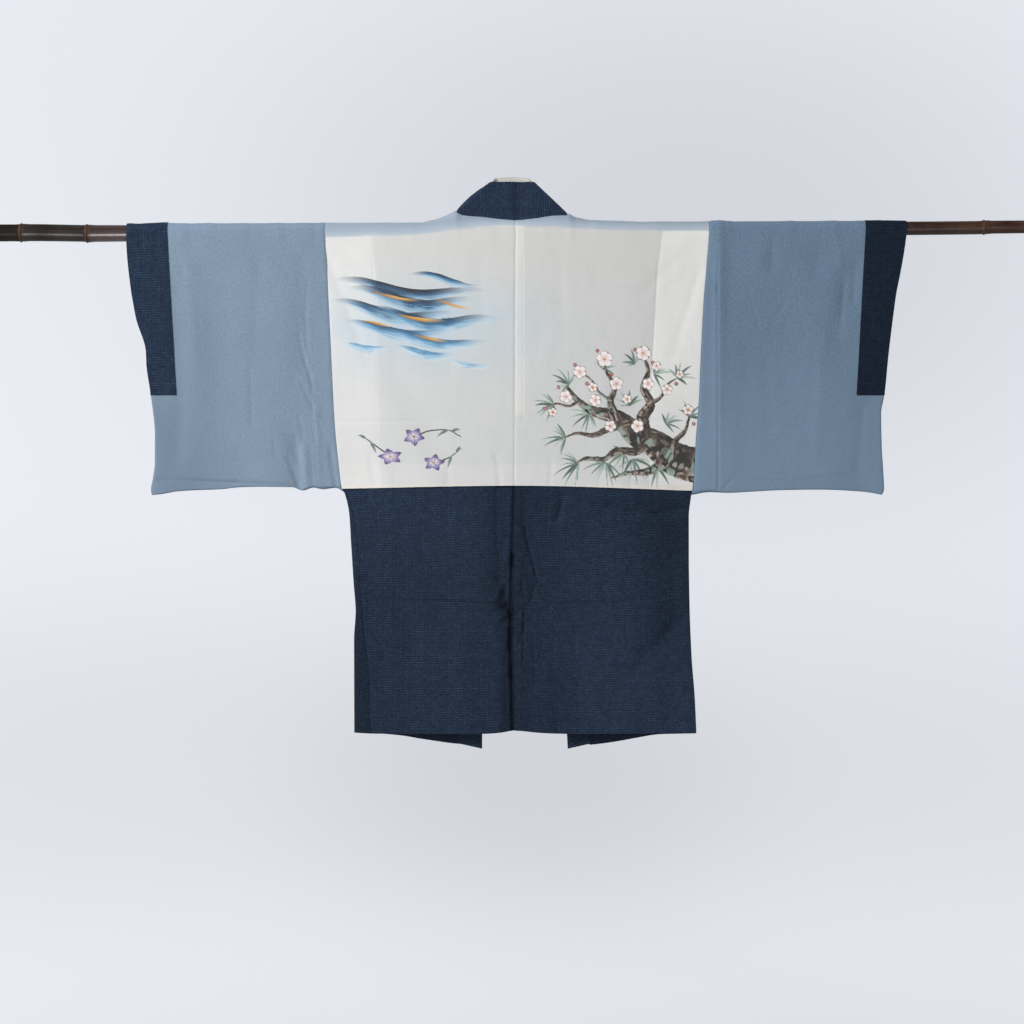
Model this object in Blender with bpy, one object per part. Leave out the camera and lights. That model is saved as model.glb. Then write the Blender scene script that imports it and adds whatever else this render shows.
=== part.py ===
"""Haori jacket, turned with its lining outwards and hung on a bamboo pole through both sleeves.

Sizes are millimetres until a mesh is made. X runs along the pole, Y from the garment's back
(negative) to its fronts (positive) and Z up. The origin is on the pole's axis, under the neck.
The cloth is a thin wall. It hangs from the pole's two sides and closes over the pole's top, so
every piece is a grid of points on one draped surface, given its thickness along the normals.
"""

import bmesh
import bpy
import numpy as np

MM = 0.001

# ---- Driving dimensions -------------------------------------------------------------------
CLOTH_WALL = 1.4  # shell cloth and lining together
CUFF_WALL = 1.1
COLLAR_WALL = 2.2
CORE_WALL = 1.0
SEAM = 0.3  # clear gap between pieces that are sewn together
CLOTH_CLEAR = 0.9  # from the pole to the cloth's inner face

POLE_HALF_LENGTH = 905.0
POLE_RADIUS = 12.05
POLE_TAPER = 0.0018  # radius lost for each millimetre to the right
POLE_RISE = 0.0057  # height won for each millimetre to the right
POLE_SIDES = 18

WAIST = -437.0  # where the lining ends and the turned-up shell cloth begins
SLEEVE_BOTTOM = -451.0
WRIST_OPEN = -281.0  # lower end of the wrist opening
HEM = -857.0
TOP_OF_COLLAR = 82.8
NECK_LEFT = -104.6  # where the collar turns from the back neck to the fronts
NECK_RIGHT = 85.9
NECK_ANGLE = 65.0  # how far over the pole the back neck's edge lies, in degrees
NEAR_COLLAR_Y = -6.0
FAR_COLLAR_Y = 15.0
COLLAR_BOW = (-4.2, 0.0, 4.2)  # how far the band bows out at the neck's left side

# ---- Tables -------------------------------------------------------------------------------
# Rings left on the bamboo by its leaf sheaths: x, height of the ridge
BAMBOO_NODES = (
    (-845.8, 1.4),
    (-733.6, 1.4),
    (-594.2, 0.4),
    (-434.4, 0.4),
    (-261.0, 0.4),
    (-72.3, 0.4),
    (128.4, 0.4),
    (344.3, 1.6),
    (570.4, 0.4),
    (794.8, 1.4),
)
RIDGE_UNDER_CLOTH = (344.3, 2.2, 11.0)  # x, how far it lifts the cloth, reach

# Side line of the body, which is also the armhole seam: z, x
LEFT_SIDE = (
    (13, -328),
    (-170, -318.8),
    (-340, -310.3),
    (-408, -301.8),
    (-437, -296.6),
    (-454, -293.3),
    (-490, -286.5),
    (-531, -284.8),
    (-602, -279.7),
    (-650, -276.3),
    (-697, -278),
    (-857, -276),
)
RIGHT_SIDE = (
    (13, 324),
    (-89, 317),
    (-211, 312),
    (-290, 308.6),
    (-358, 303.5),
    (-437, 298.4),
    (-456, 295),
    (-490, 291.6),
    (-555, 291.6),
    (-650, 293.3),
    (-732, 296.7),
    (-793, 300),
    (-857, 301.8),
)
# Outer edge of each sleeve: z, x
LEFT_WRIST = (
    (13, -664.5),
    (-23, -663.9),
    (-104, -658.8),
    (-152, -648.6),
    (-210, -631.6),
    (-233, -630.9),
    (-281, -624.8),
    (-349, -616.3),
    (-395, -616.3),
    (-430, -620.5),
    (-451, -618.5),
)
RIGHT_WRIST = (
    (13, 662.2),
    (-9, 660.5),
    (-35, 657.1),
    (-74, 650.3),
    (-109, 643.5),
    (-162, 636.7),
    (-213, 630.9),
    (-281, 624.8),
    (-312, 618),
    (-366, 618),
    (-415, 621.4),
    (-441, 622.5),
    (-451, 618.5),
)
# Inner edge of each wrist facing: z, x
LEFT_BAND = ((13, -595.9), (-281, -580.6))
RIGHT_BAND = ((13, 592.5), (-281, 577.2))
# Lower edge of each sleeve: x, z
LEFT_SLEEVE_BOTTOM = (
    (-625, -451),
    (-608, -449.3),
    (-580, -444.5),
    (-548, -442.5),
    (-506, -440.8),
    (-472, -437.4),
    (-438, -436.6),
    (-383, -437.4),
    (-366, -443),
    (-348, -438.1),
    (-332, -440.8),
    (-309, -438.5),
    (-290, -451),
)
RIGHT_SLEEVE_BOTTOM = (
    (295, -451),
    (327, -446),
    (361, -447),
    (395, -445.2),
    (446, -442.5),
    (511, -441.5),
    (589, -445),
    (625, -451),
)
WAIST_LINE = ((-300, -437.4), (0, -432.3), (300, -440.8))  # x, z
CENTRE_SEAM = ((30, -5.1), (-437, -5.1), (-600, -8), (-857, -7.7))  # z, x
BACK_HEM = (  # x, z
    (-280, -855.8),
    (-234, -857.3),
    (-57, -857.3),
    (-30, -855.6),
    (-4, -852.2),
    (38, -855.6),
    (86, -857.3),
    (302, -855.6),
)
FRONT_HEM = (  # x, z
    (-280, -857),
    (-250, -857.5),
    (-200, -861.6),
    (-166, -867.5),
    (-132, -872.6),
    (-101, -876.2),
    (0, -880),
    (123, -877.7),
    (140, -876),
    (174, -871),
    (208, -865),
    (242, -860),
    (302, -858),
)
# Seam between each front and the collar, and the collar's inner edge: z, x
LEFT_FRONT_SEAM = ((35, NECK_LEFT), (-857, -101), (-880, -98))
RIGHT_FRONT_SEAM = ((35, NECK_RIGHT), (-437, 105), (-880, 123.3))
LEFT_COLLAR_EDGE = ((90, -31), (20, -42), (-100, -50), (-300, -55), (-885, -60.4))
RIGHT_COLLAR_EDGE = ((90, 16), (20, 26), (-100, 38), (-300, 54), (-885, 85.9))
# How far the collar's inner edge runs ahead of its seam where it fans out at the neck: z, height
COLLAR_FAN = ((-876, -8.5), (-800, -2), (-250, 0), (-180, 6), (-120, 18), (-70, 36), (-30, 58), (0, 80))

# Half the depth between back and fronts of the body, at its side line, and of the sleeves: z, depth
BODY_DEPTH = ((0, 14.0), (-150, 13.6), (-437, 12), (-857, 11))
SIDE_DEPTH = ((0, 14.0), (-120, 12), (-437, 6.5), (-857, 8))
SLEEVE_DEPTH = ((0, 14.0), (-90, 12.4), (-250, 6.6), (-380, 2.9), (-451, 1.7))
DEPTH_AT_POLE = 14.0
SHUT_DEPTH = 1.7  # where two layers are sewn together
SLEEVE_FOLD_RISE = 3.2  # from the round of a sleeve's bottom fold up to its lowest level
GUSSET_RUN = 1.0  # straight run of a gusset beside each of its seams
SIDE_REACH = 90.0  # how far from the side line the depth is drawn in
WRIST_REACH = 60.0

# Height of the shoulder line above the pole's cloth, near the neck: x, height
SHOULDER_LIFT = (
    (-165, 0),
    (-149, 2.3),
    (-132, 5.6),
    (-123, 9),
    (-115, 12.3),
    (-104.6, 17),
    (-60, 11),
    (-25, 6.8),
    (0, 5),
    (34, 9),
    (68, 13.6),
    (85.9, 14),
    (98, 8.5),
    (106, 6.8),
    (123, 3.4),
    (174, 1.5),
    (208, 0),
)
# How wide each gusset's half is: z, width
GUSSET_WIDTH = ((-452, 6), (-510, 10), (-561, 18), (-660, 26), (-765, 29), (-860, 29))

# Folds: x and z of one end, x and z of the other, reach, depth away from the viewer of that side
BACK_FOLDS = (
    (-13, -645, -12, -870, 9, 4.5),
    (-22, -440, -18, -570, 12, 2.6),
    (-20, -600, -2, -640, 10, 2.0),
    (14, -505, 50, -625, 11, 2.4),
    (30, -612, 5, -665, 9, 2.8),
    (6, -665, 8, -725, 8, 1.8),
    (104, -730, 104, -860, 14, 2.2),
    (285, -655, 228, -720, 14, 3.0),
    (168, -478, 290, -478, 10, 1.6),
    (-190, -870, -165, -640, 30, 2.4),
    (190, -870, 205, -690, 30, -2.0),
    (-90, -870, -95, -700, 26, -2.2),
    (50, -860, 60, -730, 22, -2.0),
)
FRONT_FOLDS = (
    (-230, -870, -215, -610, 30, 2.6),
    (-150, -875, -160, -560, 26, -2.4),
    (165, -875, 172, -600, 28, 2.4),
    (240, -865, 226, -520, 30, -2.6),
    (-250, -480, -180, -560, 16, 2.0),
    (255, -470, 190, -540, 16, 2.0),
    (-190, -430, -185, -120, 30, 2.0),
    (200, -430, 190, -150, 30, 2.0),
)
LINING_FOLDS = (
    (-328, -20, -170, -330, 34, 1.5),
    (324, -20, 180, -300, 34, 1.5),
    (-190, -330, -150, -430, 26, -1.4),
    (150, -300, 170, -430, 26, -1.4),
)
SLEEVE_FOLDS = (
    (-365, -120, -362, -290, 14, 2.2),
    (-380, -255, -350, -305, 12, 1.8),
    (-384, -360, -376, -440, 12, 1.6),
    (-520, -120, -505, -330, 30, 1.8),
    (341, -10, 341, -440, 9, -1.2),
    (555, -100, 500, -150, 16, 2.0),
    (484, -420, 560, -410, 12, 1.2),
    (450, -120, 462, -360, 30, 1.6),
)

# Where the grids have their lines
HANG_LEVELS = (0, -30, -68, -110, -155, -200, -242, -281, -322, -365, -405, -437)
OVER_ANGLES = (0, 22, 44, 65, 88, 112, 135, 158, 180)
SKIRT_SHARES = (0, 0.034, 0.10, 0.18, 0.26, 0.34, 0.42, 0.50, 0.57, 0.64, 0.72, 0.80, 0.87, 0.94, 1)
SHOULDER_SHARES = (0, 0.12, 0.26, 0.40, 0.54, 0.66, 0.76, 0.85, 0.92, 1)
NECK_SHARES = (0, 0.2, 0.4, 0.6, 0.8, 1)
SLEEVE_SHARES = (0, 0.04, 0.12, 0.22, 0.33, 0.44, 0.55, 0.66, 0.76, 0.86, 0.94, 1)
RIGHT_SLEEVE_SHARES = (0, 0.04, 0.14, 0.26, 0.38, 0.50, 0.62, 0.74, 0.85, 0.91, 0.94, 0.975, 1)
BAND_SHARES = (0, 0.25, 0.6, 1)
FRONT_SHARES = (0, 0.12, 0.25, 0.38, 0.5, 0.62, 0.75, 0.88, 1)
BACK_LEFT_SHARES = (0, 0.12, 0.24, 0.36, 0.48, 0.6, 0.7, 0.8, 0.88, 0.93, 0.96, 0.98, 1)
BACK_RIGHT_SHARES = (0, 0.11, 0.22, 0.34, 0.46, 0.58, 0.64, 0.7, 0.78, 0.84, 0.88, 0.915, 0.945, 0.975, 1)
GUSSET_SHARES = (0.048, 0.10, 0.18, 0.26, 0.34, 0.42, 0.50, 0.57, 0.64, 0.72, 0.80, 0.87, 0.94, 1)

COLOURS = {  # name: red, green, blue, roughness
    "bamboo": (0.045, 0.028, 0.020, 0.32),
    "picture_lining": (0.70, 0.69, 0.66, 0.55),
    "sleeve_lining": (0.20, 0.30, 0.42, 0.55),
    "shell_cloth": (0.022, 0.036, 0.065, 0.8),
    "core_cloth": (0.66, 0.65, 0.60, 0.8),
}


# ---- Curves through tables ----------------------------------------------------------------
def curve(rows):
    """A smooth function through a table's (key, value) rows that never overshoots them."""
    keys, values = np.array(sorted(rows), float).T
    steps = np.diff(keys)
    slopes = np.diff(values) / steps
    tangents = np.concatenate([slopes[:1], (slopes[1:] + slopes[:-1]) / 2, slopes[-1:]])
    before, after = slopes[:-1], slopes[1:]
    turning = before * after <= 0
    safe_before, safe_after = np.where(turning, 1, before), np.where(turning, 1, after)
    first, second = 2 * steps[1:] + steps[:-1], steps[1:] + 2 * steps[:-1]
    mean = (first + second) / (first / safe_before + second / safe_after)
    tangents[1:-1] = np.where(turning, 0, mean)

    def at(where):
        where = np.clip(np.asarray(where, float), keys[0], keys[-1])
        i = np.clip(np.searchsorted(keys, where) - 1, 0, len(steps) - 1)
        t = (where - keys[i]) / steps[i]
        rise = (1 - t) ** 2 * (1 + 2 * t) * values[i] + t**2 * (3 - 2 * t) * values[i + 1]
        return rise + steps[i] * (t * (1 - t) ** 2 * tangents[i] - t**2 * (1 - t) * tangents[i + 1])

    return at


def ease(share):
    """0 to 1 with a level start and end."""
    share = np.clip(share, 0, 1)
    return share**2 * (3 - 2 * share)


left_side, right_side = curve(LEFT_SIDE), curve(RIGHT_SIDE)
left_wrist, right_wrist = curve(LEFT_WRIST), curve(RIGHT_WRIST)
left_band, right_band = curve(LEFT_BAND), curve(RIGHT_BAND)
left_sleeve_bottom, right_sleeve_bottom = curve(LEFT_SLEEVE_BOTTOM), curve(RIGHT_SLEEVE_BOTTOM)
waist_line, centre_seam = curve(WAIST_LINE), curve(CENTRE_SEAM)
back_hem, front_hem = curve(BACK_HEM), curve(FRONT_HEM)
left_front_seam, right_front_seam = curve(LEFT_FRONT_SEAM), curve(RIGHT_FRONT_SEAM)
left_collar_edge, right_collar_edge = curve(LEFT_COLLAR_EDGE), curve(RIGHT_COLLAR_EDGE)
collar_fan, gusset_width = curve(COLLAR_FAN), curve(GUSSET_WIDTH)
body_depth, side_depth, sleeve_depth = curve(BODY_DEPTH), curve(SIDE_DEPTH), curve(SLEEVE_DEPTH)
shoulder_lift = curve(SHOULDER_LIFT)


# ---- The draped surface -------------------------------------------------------------------
def pole_radius(x):
    return POLE_RADIUS - POLE_TAPER * x


def axis_height(x):
    return POLE_RISE * x


def cloth_radius(x):
    """From the pole's axis to the middle of the cloth, with the bump over one of its rings."""
    place, height, reach = RIDGE_UNDER_CLOTH
    bump = height * np.exp(-(((x - place) / reach) ** 2))
    return pole_radius(x) + CLOTH_CLEAR + bump + CLOTH_WALL / 2


def folds(table, x, z):
    """Sum of soft troughs, each along a line: depth times a bell across it, faded at both ends."""
    total = np.zeros(np.broadcast(x, z).shape)
    for x0, z0, x1, z1, reach, depth in table:
        length = np.hypot(x1 - x0, z1 - z0)
        along = ((x - x0) * (x1 - x0) + (z - z0) * (z1 - z0)) / length
        across = ((x - x0) * (z1 - z0) - (z - z0) * (x1 - x0)) / length
        past = np.maximum(np.maximum(-along, along - length), 0)
        total = total + depth * np.exp(-((across / reach) ** 2) - (past / (1.5 * reach)) ** 2)
    return total


def half_depth(x, z):
    """Half the gap between the back and front layers: a table for each of the body, its side line and
    the sleeves, blended by the distance from the side line, and drawn shut along the lower wrist edge."""
    inside = np.minimum(x - left_side(z), right_side(z) - x)
    inner = np.where(inside > 0, body_depth(z), sleeve_depth(z))
    depth = side_depth(z) + (inner - side_depth(z)) * ease(np.abs(inside) / SIDE_REACH)
    depth = depth + (cloth_radius(x) - DEPTH_AT_POLE) * (1 - ease(-z / -WAIST))
    from_edge = np.minimum(x - left_wrist(z), right_wrist(z) - x)
    shut = (1 - ease(from_edge / WRIST_REACH)) * ease((WRIST_OPEN + 60 - z) / 60)
    return depth + (SHUT_DEPTH - depth) * shut


def hang(x, z, side, tables=()):
    """Points of a hanging layer: side is -1 for the back and 1 for the fronts."""
    x, z = np.broadcast_arrays(np.asarray(x, float), np.asarray(z, float))
    depth = half_depth(x, z)
    relief = sum(folds(table, x, z) for table in tables) * ease((axis_height(x) - z) / 60)
    room = np.clip((depth - SHUT_DEPTH) / 6, 0, 1)
    return np.stack([x, side * (depth - relief * room), z], axis=-1)


def over(x, angle):
    """Points over the pole: a half circle, drawn up into an ellipse where the shoulder is lifted."""
    x = np.asarray(x, float)
    radius = half_depth(x, axis_height(x))
    turn = np.radians(angle)
    top = radius + shoulder_lift(x)
    return np.stack([x, -radius * np.cos(turn), axis_height(x) + top * np.sin(turn)], axis=-1)


def between(start, end, shares):
    return start + (end - start) * np.asarray(shares, float)


def settle(x_at, z_at, level):
    """A row of the grid whose x follows slanting seams and whose z follows a curved edge."""
    x = x_at(level)
    for _ in range(3):
        z = z_at(x)
        x = x_at(z)
    return x, z


# ---- Meshes -------------------------------------------------------------------------------
def normals_of(middle, ring=False):
    """Unit normals of a grid of points, by central differences, going round where it is a ring."""
    if ring:
        down = np.roll(middle, -1, axis=0) - np.roll(middle, 1, axis=0)
    else:
        down = np.gradient(middle, axis=0)
    normals = np.cross(down, np.gradient(middle, axis=1))
    return normals / np.linalg.norm(normals, axis=-1, keepdims=True)


def wall_faces(rows, columns, kept, ring):
    """Quads of both faces of a wall, and the quads round the edge of the kept cells."""
    offset = rows * columns
    cell_rows = rows if ring else rows - 1
    faces, edges = [], {}
    for i in range(cell_rows):
        for j in range(columns - 1):
            if kept is not None and not kept[i, j]:
                continue
            below = (i + 1) % rows
            quad = (i * columns + j, below * columns + j, below * columns + j + 1, i * columns + j + 1)
            faces.append(quad)
            faces.append(tuple(corner + offset for corner in reversed(quad)))
            for a, b in zip(quad, quad[1:] + quad[:1]):
                edges[a, b] = True
    rims = [(a, b) for a, b in edges if (b, a) not in edges]
    return faces, rims, offset


def material(name):
    red, green, blue, roughness = COLOURS[name]
    made = bpy.data.materials.get(name) or bpy.data.materials.new(name)
    made.use_nodes = True
    shader = made.node_tree.nodes["Principled BSDF"]
    shader.inputs["Base Color"].default_value = (red, green, blue, 1)
    shader.inputs["Roughness"].default_value = roughness
    shader.inputs["Metallic"].default_value = 0
    made.diffuse_color = (red, green, blue, 1)
    return made


def add_solid(name, points, faces, colour):
    """A closed mesh object in metres, with unused points dropped and its faces turned outwards."""
    used, where = np.unique(np.concatenate([np.ravel(face) for face in faces]), return_inverse=True)
    ends = np.cumsum([len(face) for face in faces])[:-1]
    mesh = bpy.data.meshes.new(name)
    mesh.from_pydata(points[used] * MM, [], [list(part) for part in np.split(where, ends)])
    work = bmesh.new()
    work.from_mesh(mesh)
    bmesh.ops.recalc_face_normals(work, faces=work.faces)
    if work.calc_volume(signed=True) < 0:
        bmesh.ops.reverse_faces(work, faces=work.faces)
    work.to_mesh(mesh)
    work.free()
    mesh.shade_smooth()
    mesh.set_sharp_from_angle(angle=np.radians(40))
    mesh.materials.append(material(colour))
    solid = bpy.data.objects.new(name, mesh)
    bpy.context.scene.collection.objects.link(solid)
    return solid


def add_wall(name, middle, thickness, colour, kept=None):
    """A wall of this thickness round a grid of middle points, closed round its edge."""
    rows, columns = middle.shape[:2]
    normals = normals_of(middle)
    faces, rims, offset = wall_faces(rows, columns, kept, ring=False)
    faces += [(b, a, a + offset, b + offset) for a, b in rims]
    points = np.concatenate([middle + normals * thickness / 2, middle - normals * thickness / 2])
    return add_solid(name, points.reshape(-1, 3), faces, colour)


# ---- Pieces -------------------------------------------------------------------------------
def add_pole():
    """A tapered bamboo pole, with a ridge and a groove at each of its rings and plain cut ends."""
    profile = [(-POLE_HALF_LENGTH, 0.0), (POLE_HALF_LENGTH, 0.0)]
    for place, height in BAMBOO_NODES:
        profile += [(place - 9, 0.0), (place - 3, height), (place + 1, height * 0.2)]
        profile += [(place + 4, height * 0.7), (place + 12, 0.0)]
    x, height = np.array(sorted(profile)).T
    turn = np.linspace(0, 2 * np.pi, POLE_SIDES, endpoint=False)
    radius = (pole_radius(x) + height)[:, None]
    centre = np.broadcast_to(axis_height(x)[:, None], (len(x), POLE_SIDES))
    across = np.broadcast_to(x[:, None], centre.shape)
    points = np.stack([across, radius * np.cos(turn), centre + radius * np.sin(turn)], axis=-1)
    step = (np.arange(POLE_SIDES) + 1) % POLE_SIDES
    faces = []
    for i in range(len(x) - 1):
        for j in range(POLE_SIDES):
            low, high = i * POLE_SIDES, (i + 1) * POLE_SIDES
            faces.append((low + j, low + step[j], high + step[j], high + j))
    faces.append(tuple(range(POLE_SIDES)))
    faces.append(tuple((len(x) - 1) * POLE_SIDES + j for j in reversed(range(POLE_SIDES))))
    return add_solid("pole", points.reshape(-1, 3), faces, "bamboo")


def add_lining(name, side, neck, front_seam, sign):
    """One half of the upper body, in one length from the back waist over the shoulder to the front
    waist. Its neck columns end at the back neck, where the collar begins. Sign is -1 on the left."""
    shoulder, throat = np.array(SHOULDER_SHARES), np.array(NECK_SHARES[1:])
    levels = HANG_LEVELS[::-1]
    rows, angles = [], OVER_ANGLES[1:-1]

    def line(z, edge):
        z = np.broadcast_to(z, len(shoulder) + len(throat))
        start, turn = side(z) - sign * SEAM / 2, edge(z) + sign * SEAM / 2
        outer = between(start[: len(shoulder)], turn[: len(shoulder)], shoulder)
        centre = centre_seam(z[len(shoulder) :]) + sign * SEAM / 2
        return np.concatenate([outer, between(turn[len(shoulder) :], centre, throat)])

    def layer(level, way, edge, tables):
        def height(x):
            foot = waist_line(x) + SEAM / 2
            return axis_height(x) + (foot - axis_height(x)) * level / WAIST

        return hang(*settle(lambda z: line(z, edge), height, level), way, tables)

    def back_neck(z):
        return np.full_like(z, neck)

    rows += [layer(level, -1, back_neck, (LINING_FOLDS,)) for level in levels]
    rows += [over(line(0.0, back_neck), angle) for angle in angles]
    rows += [layer(level, 1, front_seam, (FRONT_FOLDS,)) for level in HANG_LEVELS]
    middle = np.array(rows)
    kept = np.ones((len(middle) - 1, middle.shape[1] - 1), bool)
    neck_row = len(levels) + angles.index(NECK_ANGLE)
    kept[neck_row:, len(shoulder) - 1 :] = False
    return add_wall(name, middle, CLOTH_WALL, "picture_lining", kept)


def drop_to(hem, x, share):
    """Height of a skirt's row: this share of the way from the waist seam down to the hem."""
    top = waist_line(x) - SEAM / 2
    return top + (hem(x) - top) * share


def add_skirt(name, outer, inner, hem, way, shares, tables, gap):
    """A lower panel from the waist to the hem, between two seams given as functions of height. Gap
    is +1 where the outer seam is on the left, -1 where it is on the right."""
    rows = []
    for share in SKIRT_SHARES:
        x, z = settle(
            lambda z: between(outer(z) + gap * SEAM / 2, inner(z) - gap * SEAM / 2, shares),
            lambda x: drop_to(hem, x, share),
            WAIST + (HEM - WAIST) * share,
        )
        rows.append(hang(x, z, way, tables))
    return add_wall(name, np.array(rows), CLOTH_WALL, "shell_cloth")


def left_back_seam(z):
    """The left gusset is folded outwards, so the left panels end inside the side line."""
    return left_side(z) + gusset_width(z) * ease((WAIST - z) / (WAIST - SLEEVE_BOTTOM))


def left_gusset_reach(z):
    return gusset_width(z) - GUSSET_RUN - (CLOTH_WALL + SEAM) / 2


def add_gusset(name, seam, reach_at, way, clear):
    """A long wedge folded down its middle. It starts at the back seam, bends round its fold and ends
    at the front seam. Way is -1 where the fold points left; clear is how far it lies inside the
    panels, which is nothing where it is folded outwards."""
    turn = np.radians([-90, -90, -65, -40, -14, 14, 40, 65, 90, 90])
    start = GUSSET_RUN * np.array([0, 1, 1, 1, 1, 1, 1, 1, 1, 0])
    rows = []
    for share in GUSSET_SHARES:
        x, z = settle(
            lambda z: seam(z) + way * (start + reach_at(z) * np.cos(turn)),
            lambda x: drop_to(back_hem, x, share),
            WAIST + (HEM - WAIST) * share,
        )
        back, front = hang(x, z, -1, (BACK_FOLDS,)), hang(x, z, 1, (FRONT_FOLDS,))
        depth = np.where(turn < 0, -back[:, 1], front[:, 1]) - clear
        rows.append(np.stack([x, depth * np.sin(turn), z], axis=-1))
    return add_wall(name, np.array(rows), CLOTH_WALL, "shell_cloth")


def sleeve_rows(outer, inner, bottom, shares, tables):
    """Rings of a bag sleeve: from the lowest line up the near layer, over the pole and down the far
    layer. Each row runs from the wrist edge to the armhole."""

    def line(z):
        return between(outer(z), inner(z), shares)

    def width(x):
        return half_depth(x, SLEEVE_BOTTOM)

    def layer(level, way):
        def height(x):
            lowest = bottom(x) + width(x)
            if level == SLEEVE_BOTTOM:
                return lowest
            inside = np.minimum(np.abs(x - left_side(WAIST)), np.abs(x - right_side(WAIST)))
            waist = waist_line(x) + SEAM / 2
            foot = waist + (lowest + SLEEVE_FOLD_RISE - waist) * ease(inside / SIDE_REACH)
            return axis_height(x) + (foot - axis_height(x)) * level / WAIST

        return hang(*settle(line, height, level), way, tables)

    def under(way, turn):
        x, z = settle(line, lambda x: bottom(x) + width(x) * (1 - np.sin(turn)), SLEEVE_BOTTOM)
        return np.stack([x, way * width(x) * np.cos(turn), z], axis=-1)

    levels = HANG_LEVELS + (SLEEVE_BOTTOM,)
    near = [layer(level, -1) for level in reversed(levels)]
    top = [over(line(0.0), angle) for angle in OVER_ANGLES[1:-1]]
    far = [layer(level, 1) for level in levels]
    corner = np.radians(45)
    return np.array([under(-1, np.radians(90)), under(-1, corner), *near, *top, *far, under(1, corner)])


def add_sleeve(name, outer, side, bottom, shares, sign):
    """A bag sleeve, open at the armhole and for the upper part of its wrist edge. Below that the two
    layers are joined, the outer faces to each other and the inner faces to each other."""

    def armhole(z):
        return side(z) + sign * SEAM / 2

    middle = sleeve_rows(outer, armhole, bottom, shares, (SLEEVE_FOLDS,))
    rows, columns = middle.shape[:2]
    normals = normals_of(middle, ring=True)
    outward = np.sign((normals[rows // 2] * (0, 0, 1)).sum())
    thick = outward * normals * CLOTH_WALL / 2
    points = np.concatenate([middle + thick, middle - thick])
    slit = 2 + (HANG_LEVELS + (SLEEVE_BOTTOM,))[::-1].index(WRIST_OPEN)
    shut_rows = [*range(slit + 1), *range(rows - slit, rows)]
    points[rows + np.array(shut_rows), 0, 0] -= sign * CLOTH_WALL
    faces, rims, offset = wall_faces(rows, columns, None, ring=True)
    shut = {row * columns for row in shut_rows}
    faces += [(b, a, a + offset, b + offset) for a, b in rims if not {a, b} <= shut]
    for i in range(slit):
        low, high = i * columns, (i + 1) * columns
        low_far, high_far = (rows - i) % rows * columns, (rows - i - 1) * columns
        seam = (low, high, high_far) if i == 0 else (low, high, high_far, low_far)
        faces += [seam, tuple(corner + offset for corner in seam)]
    near, far = slit * columns, (rows - slit) * columns
    faces.append((near, far, far + offset, near + offset))
    return add_solid(name, points.reshape(-1, 3), faces, "sleeve_lining")


def add_cuff(name, outer, band, bottom):
    """The wrist facing: a band that lies on the sleeve's outer face, over the pole, down both layers
    to the end of the wrist opening."""
    middle = sleeve_rows(outer, band, bottom, BAND_SHARES, (SLEEVE_FOLDS,))
    rows = len(middle)
    slit = 2 + (HANG_LEVELS + (SLEEVE_BOTTOM,))[::-1].index(WRIST_OPEN)
    normals = normals_of(middle, ring=True)
    outward = np.sign((normals[rows // 2] * (0, 0, 1)).sum())
    lifted = middle + outward * normals * (CLOTH_WALL / 2 + 2 * SEAM + CUFF_WALL / 2)
    return add_wall(name, lifted[slit : rows - slit + 1], CUFF_WALL, "shell_cloth")


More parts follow.
